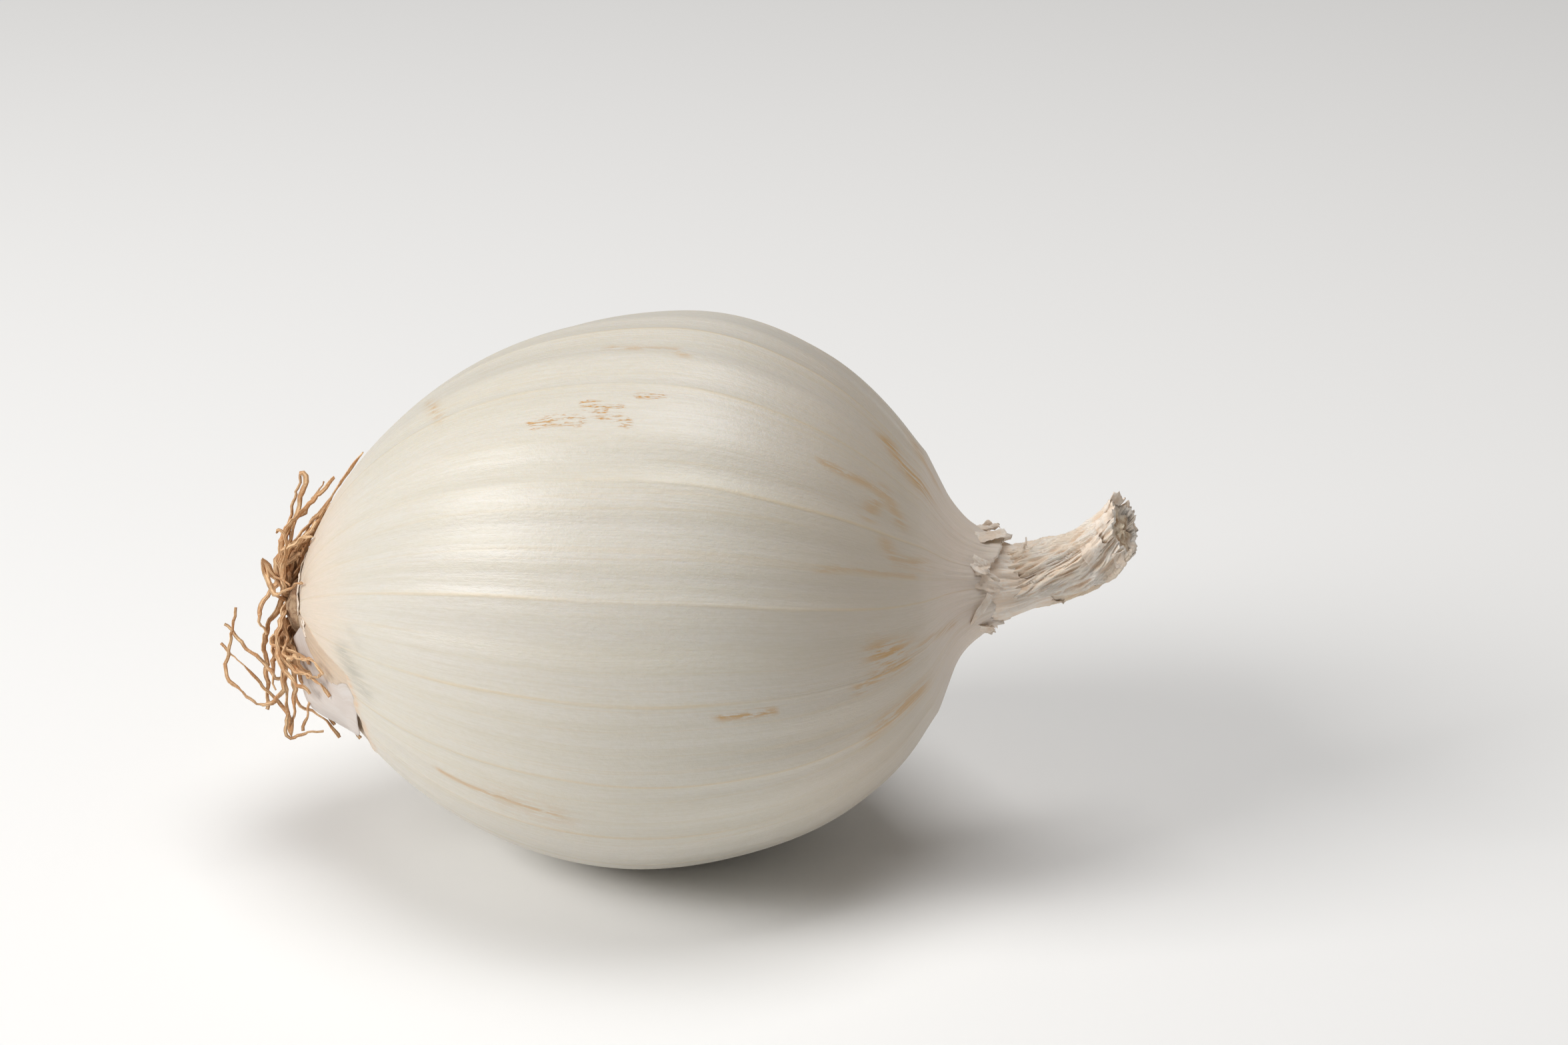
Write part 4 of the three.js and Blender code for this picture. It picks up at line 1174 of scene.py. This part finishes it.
NECK_MEAN_RADIUS = 4.2
neck_scraps = []
for n, (start, end, half_width, stand, curl) in enumerate(NECK_SCRAPS):
    scrap_draw = random.Random(120 + n)
    down = np.linspace(0, 1, SCRAP_ROWS)[:, None]
    aside = np.linspace(-1, 1, SCRAP_COLUMNS)[None, :]
    teeth = np.interp(aside, np.linspace(-1, 1, 7), [0.45 * scrap_draw.random() for _ in range(7)])
    turned = math.radians(end[1] - start[1]) * NECK_MEAN_RADIUS
    run = np.array([(end[0] - start[0]) * neck_length, turned])
    length = float(np.linalg.norm(run))
    ahead = run / length
    width = half_width * (1 - 0.25 * down**2)
    reach = down * length - min(1, 2 * half_width) * (teeth - 0.3) * down**3
    share = start[0] + (ahead[0] * reach - ahead[1] * width * aside) / neck_length
    sideways = ahead[1] * reach + ahead[0] * width * aside
    angle = math.radians(start[1]) + sideways / NECK_MEAN_RADIUS
    crumple = rough(1.1 * reach, 1.4 * width * aside, 5 * n, 54)
    lift = stand[0] + (stand[1] - stand[0]) * down**1.5 + curl * aside * aside * (0.1 + down)
    lift = lift + 0.3 * min(1, half_width) * crumple * (0.2 + down)
    grid = on_neck(share, angle, lift)
    neck_scraps.append(thin_sheet("neck_scrap_%02d" % (n + 1), grid, SCRAP_THICKNESS))
for piece in neck_scraps:
    piece.data.materials.append(scrap_material)
    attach(piece, "root")
    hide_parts("neck")
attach(neck, "root")
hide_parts("neck")


# The root plate and the roots

# A corky disc at the bottom of the bulb, with a tuft of dry, flattened, grooved roots growing out
# of it. The upper bunch lies back on the skin, the lower bunch hangs and curls.

PLATE_RADIUS = 4.5
PLATE_BACK = -49.7
PLATE_FACE = -53.2
PLATE_SIDES = 72
PLATE_KNOBS = 0.3
SKETCH_RISE = math.radians(24)

plate_angles = np.arange(PLATE_SIDES) / PLATE_SIDES * 2 * np.pi
plate_profile = (
    (PLATE_FACE - 1.1, 0.4 * PLATE_RADIUS),
    (PLATE_FACE - 0.6, 0.7 * PLATE_RADIUS),
    (PLATE_FACE, 0.88 * PLATE_RADIUS),
    (PLATE_FACE + 0.5, 0.97 * PLATE_RADIUS),
    (PLATE_FACE + 1.2, PLATE_RADIUS),
    (PLATE_BACK - 1, PLATE_RADIUS),
    (PLATE_BACK, PLATE_RADIUS),
    (PLATE_BACK, 0.5 * PLATE_RADIUS),
)
plate_rows = []
for x, radius in plate_profile:
    plate_cos, plate_sin = np.cos(plate_angles), np.sin(plate_angles)
    knobs = rough(0.9 * radius * plate_cos, 0.9 * radius * plate_sin, x, 21)
    spread = radius * (1 + 0.05 * knobs)
    plate_rows.append(
        np.stack([x + PLATE_KNOBS * knobs, spread * plate_cos, spread * plate_sin], axis=-1)
    )
plate_turns, plate_lengths = np.meshgrid(
    np.arange(PLATE_SIDES + 1) / PLATE_SIDES, np.linspace(0, 1, len(plate_rows))
)
plate = surface(
    "root_plate",
    np.array(plate_rows),
    True,
    True,
    {"skin": np.stack([plate_turns, plate_lengths], axis=-1)},
)

# The crop that the roots were read in: its corner in the photograph, how far it is enlarged, the
# middle and the tilt of the bulb there, the mm to a pixel, and the shift to the frame of the bulb.
CROP_LEFT = 300
CROP_TOP = 650
CROP_ENLARGED = 3.1375
SKETCH_MIDDLE = (955.0, 891.0)
SKETCH_TILT = math.radians(2.5)
SKETCH_STEP_ALONG = 0.0972
SKETCH_STEP_UP = 0.09666
SKETCH_SHIFT = 3.0


def read(across, down, out):
    """A place read in the crop of the photograph: mm along the axis, up the sketch, out."""
    right = CROP_LEFT + across / CROP_ENLARGED - SKETCH_MIDDLE[0]
    under = CROP_TOP + down / CROP_ENLARGED - SKETCH_MIDDLE[1]
    along = right * math.cos(SKETCH_TILT) - under * math.sin(SKETCH_TILT)
    up = -(right * math.sin(SKETCH_TILT) + under * math.cos(SKETCH_TILT))
    return round(SKETCH_STEP_ALONG * along - SKETCH_SHIFT, 1), round(SKETCH_STEP_UP * up, 1), out


# The leading roots, from the plate to the tip. Most places were read in pixels of the crop,
# with a chosen depth in mm, and come out to the nearest 0.1 mm. The others are given
# in mm along the axis, up the sketch and out of it.
ROOTS = (
    (
        read(450, 640, 0.6),
        read(545, 465, 1.2),
        read(630, 360, 1.8),
        read(715, 205, 2.4),
        read(808, 97, 3.2),
    ),
    (
        read(430, 600, 1.0),
        read(520, 430, 1.8),
        read(600, 340, 1.8),
        read(660, 250, 1.4),
        read(725, 190, 0.8),
    ),
    (
        (-54.4, 6.0, 3.0),
        read(400, 480, 3.4),
        read(470, 390, 3.4),
        read(560, 300, 3.4),
        read(642, 212, 3.4),
    ),
    (
        (-54.4, 6.6, 0.0),
        read(405, 450, 0.4),
        read(480, 375, 0.6),
        read(530, 290, 0.2),
        read(565, 232, 0.0),
    ),
    (
        (-53.9, 7.0, -0.6),
        read(405, 440, 0.0),
        read(415, 340, 0.0),
        read(440, 260, 0.0),
        read(465, 193, 0.6),
        read(485, 205, 1.0),
        read(470, 290, 1.4),
        read(448, 395, 2.0),
        (-53.4, 9.0, 2.4),
    ),
    (
        (-54.0, 5.0, 4.0),
        read(430, 560, 5.0),
        read(480, 525, 6.4),
        read(520, 495, 7.4),
        read(583, 493, 9.2),
    ),
    (
        (-55.0, 3.4, 2.2),
        read(300, 610, 3.4),
        read(340, 700, 5.0),
        read(375, 755, 5.6),
        read(500, 712, 8.8),
        (-49.0, 3.5, 10.8),
    ),
    (
        (-55.4, 2.4, 4.0),
        read(320, 620, 4.4),
        read(350, 655, 5.0),
        read(400, 690, 5.6),
        read(450, 720, 6.2),
    ),
    (
        (-54.2, 3.9, 4.4),
        read(415, 620, 5.2),
        read(422, 520, 5.4),
        read(398, 450, 5.0),
        (-54.8, 11.0, 4.2),
    ),
    (
        (-54.5, -1.0, 3.8),
        read(420, 960, 4.4),
        read(415, 1100, 4.8),
        read(425, 1320, 4.6),
        read(415, 1440, 4.0),
        read(500, 1420, 3.6),
        read(590, 1400, 3.4),
    ),
    (
        (-54.0, -6.0, 5.0),
        read(400, 1210, 5.4),
        read(350, 1275, 5.6),
        read(290, 1280, 5.2),
        read(210, 1220, 5.0),
        read(150, 1165, 5.0),
        read(138, 1040, 4.4),
        read(178, 828, 4.0),
    ),
    (
        (-54.4, -6.0, 1.6),
        read(370, 1170, 2.4),
        read(310, 1100, 2.8),
        read(250, 1050, 3.0),
        read(180, 970, 3.0),
        read(120, 905, 3.0),
    ),
    (
        (-53.8, -10.0, 0.6),
        read(410, 1430, 0.6),
        read(395, 1330, 1.0),
        read(340, 1260, 1.2),
        read(270, 1180, 1.6),
        read(140, 1045, 1.8),
        read(90, 990, 2.0),
    ),
    (
        (-55.0, 4.6, 0.4),
        read(340, 710, 0.8),
        read(290, 790, 1.0),
        read(268, 880, 1.4),
        read(300, 950, 1.0),
    ),
    (
        read(380, 760, -0.6),
        read(330, 850, -0.2),
        read(300, 930, 0.2),
        read(280, 1020, 0.4),
        read(290, 1130, 0.6),
        read(302, 1310, 1.0),
    ),
    (
        read(400, 800, 1.4),
        read(370, 900, 1.8),
        read(350, 1000, 2.2),
        read(345, 1100, 2.4),
        read(355, 1210, 2.8),
    ),
    (
        read(400, 870, 4.0),
        read(380, 980, 4.8),
        read(400, 1080, 6.0),
        read(470, 1170, 7.0),
        read(553, 1222, 7.6),
    ),
    (
        read(430, 1000, -1.0),
        read(480, 1120, -1.4),
        read(540, 1260, -1.8),
        read(600, 1390, -2.0),
    ),
    (
        (-53.4, -7.0, 3.0),
        (-51.6, -12.5, 3.6),
        read(515, 1310, 3.4),
        read(490, 1400, 3.0),
    ),
    (
        (-54.2, -9.0, -0.6),
        read(440, 1280, -0.8),
        read(530, 1340, -1.0),
        read(600, 1410, -1.4),
        read(628, 1450, -1.4),
    ),
    (
        (-53.6, -7.0, -4.0),
        (-51.5, -11.0, -5.2),
        read(600, 1290, -6.2),
        read(690, 1455, -7.0),
    ),
)
FILLER_ROOTS = 52
ROOT_CLEARANCE = 0.75
ROOT_HALF_WIDTH = 0.72
ROOT_WIDTH_SPREAD = 0.36
ROOT_KINK = 0.5
ROOT_TAPER = 0.42
ROOT_TWIST = 2.4


def from_sketch(x, up, out):
    """A point of the sketch of the root end in the bulb's own frame."""
    rise, run = math.sin(SKETCH_RISE), math.cos(SKETCH_RISE)
    return Vector((x, rise * up - run * out, run * up + rise * out))


def clear_of_skin(point, clearance):
    """The point, moved out along the axis where it would be in the skin or the plate."""
    radius = math.hypot(point.y, point.z)
    limit = PLATE_FACE - 0.2 if radius < PLATE_RADIUS else float(root_cone_x(radius)) - clearance
    point.x = min(point.x, limit)
    return point


root_draw = random.Random(43)
root_lines = [[from_sketch(*place) for place in root] for root in ROOTS]
for n in range(FILLER_ROOTS):
    side = root_draw.random()
    middle = 66 if side < 0.46 else 246 if side < 0.84 else 336
    angle = math.radians(middle + 66 * (root_draw.random() - 0.5))
    reach = 8 + 9 * root_draw.random()
    arch = 1.2 + 3.4 * root_draw.random()
    swing = 1.1 * (root_draw.random() - 0.5)
    line = []
    for step in range(1, 7):
        share = step / 6
        radius = 2.2 + (reach - 2.2) * share
        swung = angle + swing * share + 0.12 * math.sin(7 * share + n)
        height = arch * math.sin(math.pi * min(1, 1.1 * share)) + 0.5
        x = min(float(root_cone_x(radius)), -46 - 7 * (1 - share)) - height
        line.append(Vector((x, radius * math.cos(swung), radius * math.sin(swung))))
    root_lines.append(line)

root_curve = bpy.data.curves.new("root_lines", "CURVE")
root_curve.dimensions = "3D"
for n, line in enumerate(root_lines):
    start = 0.42 * line[0]
    inside = min(1, (PLATE_RADIUS - 0.9) / max(math.hypot(start.y, start.z), 0.1))
    start = Vector((PLATE_FACE + 1.0, start.y * inside, start.z * inside))
    out = Vector((PLATE_FACE - 0.9, 1.1 * start.y, 1.1 * start.z))
    length = sum((b - a).length for a, b in zip(line[:-1], line[1:]))
    count = int(14 + length * 1.5)
    path = smooth_line([start, out] + [tuple(p) for p in line], count)
    spline = root_curve.splines.new("POLY")
    spline.points.add(count - 1)
    thick = ROOT_HALF_WIDTH + ROOT_WIDTH_SPREAD * root_draw.random()
    for step, place in enumerate(path):
        share = step / (count - 1)
        kink = Vector(
            (
                noise.noise(Vector((0.45 * step, 3.1 * n, 0.3))),
                noise.noise(Vector((0.45 * step, 3.1 * n, 7.3))),
                noise.noise(Vector((0.45 * step, 3.1 * n, 13.3))),
            )
        )
        point = Vector(place) + ROOT_KINK * min(1, 3 * share) * kink
        if share > 0.12:
            point = clear_of_skin(point, ROOT_CLEARANCE)
        spot = in_place([point])[0]
        spline.points[step].co = (spot[0], spot[1], spot[2], 1)
        taper = 1 - ROOT_TAPER * max(0, share - 0.35) / 0.65
        swelling = 1 + 0.22 * noise.noise(Vector((0.6 * step, n, 5)))
        spline.points[step].radius = thick * taper * swelling
        spline.points[step].tilt = ROOT_TWIST * noise.noise(Vector((0.12 * step, 2.7 * n, 9))) + n
root_object = bpy.data.objects.new("root_lines", root_curve)
bpy.context.scene.collection.objects.link(root_object)

root_material = bpy.data.materials.new("dry_roots")
root_material.use_nodes = True


def root_tree():
    """Turns each line into a flattened, grooved root."""
    group = bpy.data.node_groups.new("grow_roots", "GeometryNodeTree")
    group.interface.new_socket(name="Geometry", in_out="INPUT", socket_type="NodeSocketGeometry")
    width = group.interface.new_socket(name="Half width", in_out="INPUT", socket_type="NodeSocketFloat")
    width.default_value = 0.0006
    thickness = group.interface.new_socket(name="Flatness", in_out="INPUT", socket_type="NodeSocketFloat")
    thickness.default_value = 0.5
    group.interface.new_socket(name="Geometry", in_out="OUTPUT", socket_type="NodeSocketGeometry")
    nodes, links = group.nodes, group.links
    start = nodes.new("NodeGroupInput")
    end = nodes.new("NodeGroupOutput")
    profile = nodes.new("GeometryNodeCurvePrimitiveCircle")
    profile.inputs["Resolution"].default_value = 10
    links.new(start.outputs["Half width"], profile.inputs["Radius"])
    step = nodes.new("GeometryNodeInputIndex")
    odd = nodes.new("ShaderNodeMath")
    odd.operation = "MODULO"
    odd.inputs[1].default_value = 2
    links.new(step.outputs[0], odd.inputs[0])
    groove = nodes.new("ShaderNodeMapRange")
    groove.inputs["To Min"].default_value = 1.0
    groove.inputs["To Max"].default_value = 0.74
    links.new(odd.outputs[0], groove.inputs["Value"])
    place = nodes.new("GeometryNodeInputPosition")
    shrunk = nodes.new("ShaderNodeVectorMath")
    shrunk.operation = "SCALE"
    links.new(place.outputs[0], shrunk.inputs[0])
    links.new(groove.outputs[0], shrunk.inputs["Scale"])
    flat = nodes.new("ShaderNodeCombineXYZ")
    flat.inputs[0].default_value = 1
    flat.inputs[2].default_value = 1
    links.new(start.outputs["Flatness"], flat.inputs[1])
    pressed = nodes.new("ShaderNodeVectorMath")
    pressed.operation = "MULTIPLY"
    links.new(shrunk.outputs[0], pressed.inputs[0])
    links.new(flat.outputs[0], pressed.inputs[1])
    moved = nodes.new("GeometryNodeSetPosition")
    links.new(profile.outputs[0], moved.inputs["Geometry"])
    links.new(pressed.outputs[0], moved.inputs["Position"])
    share = nodes.new("GeometryNodeSplineParameter")
    around = nodes.new("GeometryNodeStoreNamedAttribute")
    around.data_type = "FLOAT"
    around.domain = "POINT"
    around.inputs["Name"].default_value = "root_turn"
    links.new(moved.outputs[0], around.inputs["Geometry"])
    links.new(share.outputs["Factor"], around.inputs["Value"])
    along = nodes.new("GeometryNodeStoreNamedAttribute")
    along.data_type = "FLOAT"
    along.domain = "POINT"
    along.inputs["Name"].default_value = "root_share"
    links.new(start.outputs["Geometry"], along.inputs["Geometry"])
    links.new(share.outputs["Factor"], along.inputs["Value"])
    radius = nodes.new("GeometryNodeInputRadius")
    tube = nodes.new("GeometryNodeCurveToMesh")
    tube.inputs["Fill Caps"].default_value = True
    links.new(along.outputs[0], tube.inputs["Curve"])
    links.new(around.outputs[0], tube.inputs["Profile Curve"])
    if "Scale" in tube.inputs:
        links.new(radius.outputs[0], tube.inputs["Scale"])
    real = nodes.new("GeometryNodeRealizeInstances")
    links.new(tube.outputs[0], real.inputs[0])
    dressed = nodes.new("GeometryNodeSetMaterial")
    dressed.inputs["Material"].default_value = root_material
    links.new(real.outputs[0], dressed.inputs["Geometry"])
    links.new(dressed.outputs[0], end.inputs[0])
    return group, width.identifier, thickness.identifier


grow, width_socket, flat_socket = root_tree()
growing = root_object.modifiers.new("grow", "NODES")
growing.node_group = grow
growing[width_socket] = 0.00055
growing[flat_socket] = 0.44
bpy.context.view_layer.update()
grown = root_object.evaluated_get(bpy.context.evaluated_depsgraph_get())
root_mesh = bpy.data.meshes.new_from_object(grown)
root_mesh.name = "roots"
roots = bpy.data.objects.new("roots", root_mesh)
bpy.context.scene.collection.objects.link(roots)
bpy.data.objects.remove(root_object)
if not root_mesh.materials:
    root_mesh.materials.append(root_material)

ROOT_BROWN = (0.6, 0.3, 0.13, 1)
ROOT_TAN = (0.93, 0.64, 0.37, 1)
ROOT_PALE = (0.97, 0.76, 0.5, 1)
ROOT_BASE_DARK = (0.28, 0.12, 0.05, 1)
GROOVE_SHADE_BROWN = (0.4, 0.17, 0.06, 1)
CORK_DARK = (0.24, 0.13, 0.07, 1)
CORK_TAN = (0.62, 0.44, 0.28, 1)

tree = root_material.node_tree
shader = tree.nodes["Principled BSDF"]
place = tree.nodes.new("ShaderNodeTexCoord")
blotch = noisy(tree, place.outputs["Object"], 380, 4.0, 0.6)
grain = noisy(tree, place.outputs["Object"], 2600, 3.0, 0.7)
tone = mixed(tree, ramped(tree, blotch, 0.34, 0.66), ROOT_BROWN, ROOT_TAN)
tone = tinted(tree, tone, ROOT_PALE, ramped(tree, grain, 0.45, 0.7), 0.45)
base = inverse(tree, ramped(tree, attribute_of(tree, "root_share"), 0.05, 0.35))
tone = tinted(tree, tone, ROOT_BASE_DARK, base, 0.45)
# Painted shade: four dark lines along each root, for the shade in its grooves.
round_root = maths(tree, "FRACT", maths(tree, "MULTIPLY", attribute_of(tree, "root_turn"), 4.0))
groove = inverse(tree, ramped(tree, off_middle(tree, round_root), 0.04, 0.2))
groove = maths(tree, "MULTIPLY", groove, ramped(tree, blotch, 0.3, 0.55))
tone = tinted(tree, tone, GROOVE_SHADE_BROWN, groove, 0.55)
tree.links.new(tone, shader.inputs["Base Color"])
bump = tree.nodes.new("ShaderNodeBump")
bump.inputs["Strength"].default_value = 0.7
bump.inputs["Distance"].default_value = 0.0002
tree.links.new(maths(tree, "SUBTRACT", grain, groove), bump.inputs["Height"])
tree.links.new(bump.outputs["Normal"], shader.inputs["Normal"])
shader.inputs["Roughness"].default_value = 0.72

plate_material = bpy.data.materials.new("root_plate")
plate_material.use_nodes = True
tree = plate_material.node_tree
shader = tree.nodes["Principled BSDF"]
place = tree.nodes.new("ShaderNodeTexCoord")
cork = noisy(tree, place.outputs["Object"], 900, 5.0, 0.7)
cork_colour = mixed(tree, ramped(tree, cork, 0.35, 0.65), CORK_DARK, CORK_TAN)
tree.links.new(cork_colour, shader.inputs["Base Color"])
bump = tree.nodes.new("ShaderNodeBump")
bump.inputs["Strength"].default_value = 0.8
bump.inputs["Distance"].default_value = 0.0005
tree.links.new(cork, bump.inputs["Height"])
tree.links.new(bump.outputs["Normal"], shader.inputs["Normal"])
shader.inputs["Roughness"].default_value = 0.85
plate.data.materials.append(plate_material)
for piece in (plate, roots):
    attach(piece, "root")
    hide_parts("root_tuft")


# The loose skin

# A torn strip of the thin outermost skin. It still hangs from the root plate, lies close to the
# bulb on its near side and has lifted away on the other.

# Its end is held as a share of the way across and the radius there in mm, and its near edge as a
# radius in mm and degrees round the bulb.
STRIP_INNER_RADIUS = 5.6
STRIP_END = ((0, 20.1), (0.14, 21.5), (0.3, 21.9), (0.42, 21.7), (0.6, 19.8), (0.85, 17.2), (1, 15.0))
STRIP_NEAR_EDGE = (
    (5.6, 170),
    (7.0, 184),
    (9.0, 197),
    (11.0, 204),
    (13.0, 205),
    (15.7, 200),
    (18.0, 194),
    (19.8, 189.5),
    (21.9, 185),
)
STRIP_FAR_ANGLE = 262.0
STRIP_LIFT = 3.0
STRIP_REST_LIFT = 1.1
STRIP_THICKNESS = 0.24
STRIP_ALONG = 90
STRIP_ROUND = 100
TEAR_STEPS = 19
NEAR_TEAR = 0.9
FAR_TEAR = 4.0
END_TEAR = 0.5

strip_draw = random.Random(31)
near_tear = [NEAR_TEAR * (strip_draw.random() - 0.5) for _ in range(TEAR_STEPS)]
far_tear = [FAR_TEAR * (strip_draw.random() - 0.5) for _ in range(TEAR_STEPS)]
end_tear = [END_TEAR * (strip_draw.random() - 0.5) for _ in range(TEAR_STEPS)]
tear_steps = np.linspace(0, 1, TEAR_STEPS)
strip_share, strip_out = np.meshgrid(
    np.linspace(0, 1, STRIP_ROUND + 1), np.linspace(0, 1, STRIP_ALONG + 1)
)
strip_end = np.interp(strip_share, [share for share, _ in STRIP_END], [r for _, r in STRIP_END])
strip_end = strip_end + np.interp(strip_share, tear_steps, end_tear)
strip_radius = STRIP_INNER_RADIUS + (strip_end - STRIP_INNER_RADIUS) * strip_out
strip_near = np.interp(strip_radius, [r for r, _ in STRIP_NEAR_EDGE], [a for _, a in STRIP_NEAR_EDGE])
strip_near = strip_near + np.interp(strip_out, tear_steps, near_tear)
strip_far = STRIP_FAR_ANGLE - 8 * soft_step(strip_out, 0.6, 1)
strip_far = strip_far - np.interp(strip_out, tear_steps, far_tear)
strip_angle = strip_near + (strip_far - strip_near) * strip_share

# The near edge is still joined to the skin of the bulb, and the rest stands off it.
strip_free = soft_step(strip_share, 0, 0.45)
strip_flare = soft_step(strip_radius, STRIP_INNER_RADIUS, 14)
strip_flare = strip_flare * (1 - 0.93 * soft_step(strip_radius, 14, 19.5))
strip_lift = STRIP_REST_LIFT * (1 - 0.7 * soft_step(strip_radius, 15, 20))
strip_lift = strip_lift + STRIP_LIFT * strip_flare * soft_step(strip_angle, 200, 246)
strip_sunk = 0.25 + 0.5 * (1 - soft_step(strip_radius, 12, 17))
strip_lift = (strip_lift + strip_sunk + 0.3) * strip_free - strip_sunk
strip_turn = np.radians(strip_angle)
strip_wave = 0.22 * rough(0.3 * strip_radius, 4 * strip_turn, 0, 31)
strip_wave = strip_wave + 0.05 * rough(0.3 * strip_radius, 26 * strip_turn, 0, 32)
strip_x = root_cone_x(strip_radius) - strip_lift + strip_wave * (0.15 + strip_free)
strip_grid = np.stack(
    [strip_x, strip_radius * np.cos(strip_turn), strip_radius * np.sin(strip_turn)], axis=-1
)
loose_skin = thin_sheet("loose_strip", strip_grid[:, ::-1], STRIP_THICKNESS)

STRIP_PINK = (0.66, 0.58, 0.53, 1)
STRIP_CREAM = (0.7, 0.635, 0.59, 1)
STRIP_STREAK = (0.6, 0.5, 0.43, 1)

strip_material = bpy.data.materials.new("loose_skin")
strip_material.use_nodes = True
tree = strip_material.node_tree
shader = tree.nodes["Principled BSDF"]
across_u, along_v = layer(tree, "skin")


def across_strip(across_size, long_size):
    """A place on the strip, at a size across it and a size along it."""
    join = tree.nodes.new("ShaderNodeCombineXYZ")
    tree.links.new(maths(tree, "MULTIPLY", across_u, across_size), join.inputs[0])
    tree.links.new(maths(tree, "MULTIPLY", along_v, long_size), join.inputs[1])
    return join.outputs[0]


strip_streaks = noisy(tree, across_strip(60.0, 2.5), 1.0, 3.0, 0.6)
strip_slow = noisy(tree, across_strip(5.0, 3.0), 1.0, 2.0)
strip_colour = mixed(tree, ramped(tree, strip_slow, 0.35, 0.65), STRIP_PINK, STRIP_CREAM)
strip_colour = tinted(tree, strip_colour, STRIP_STREAK, ramped(tree, strip_streaks, 0.45, 0.66), 0.45)
tree.links.new(strip_colour, shader.inputs["Base Color"])
bump = tree.nodes.new("ShaderNodeBump")
bump.inputs["Strength"].default_value = 0.4
bump.inputs["Distance"].default_value = 0.0001
tree.links.new(strip_streaks, bump.inputs["Height"])
tree.links.new(bump.outputs["Normal"], shader.inputs["Normal"])
shader.inputs["Roughness"].default_value = 0.45
shader.inputs["Subsurface Weight"].default_value = 0.15
shader.inputs["Subsurface Radius"].default_value = (0.002, 0.0016, 0.0013)
shader.inputs["Subsurface Scale"].default_value = 1.0
loose_skin.data.materials.append(strip_material)
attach(loose_skin, "root")
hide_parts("loose_skin")
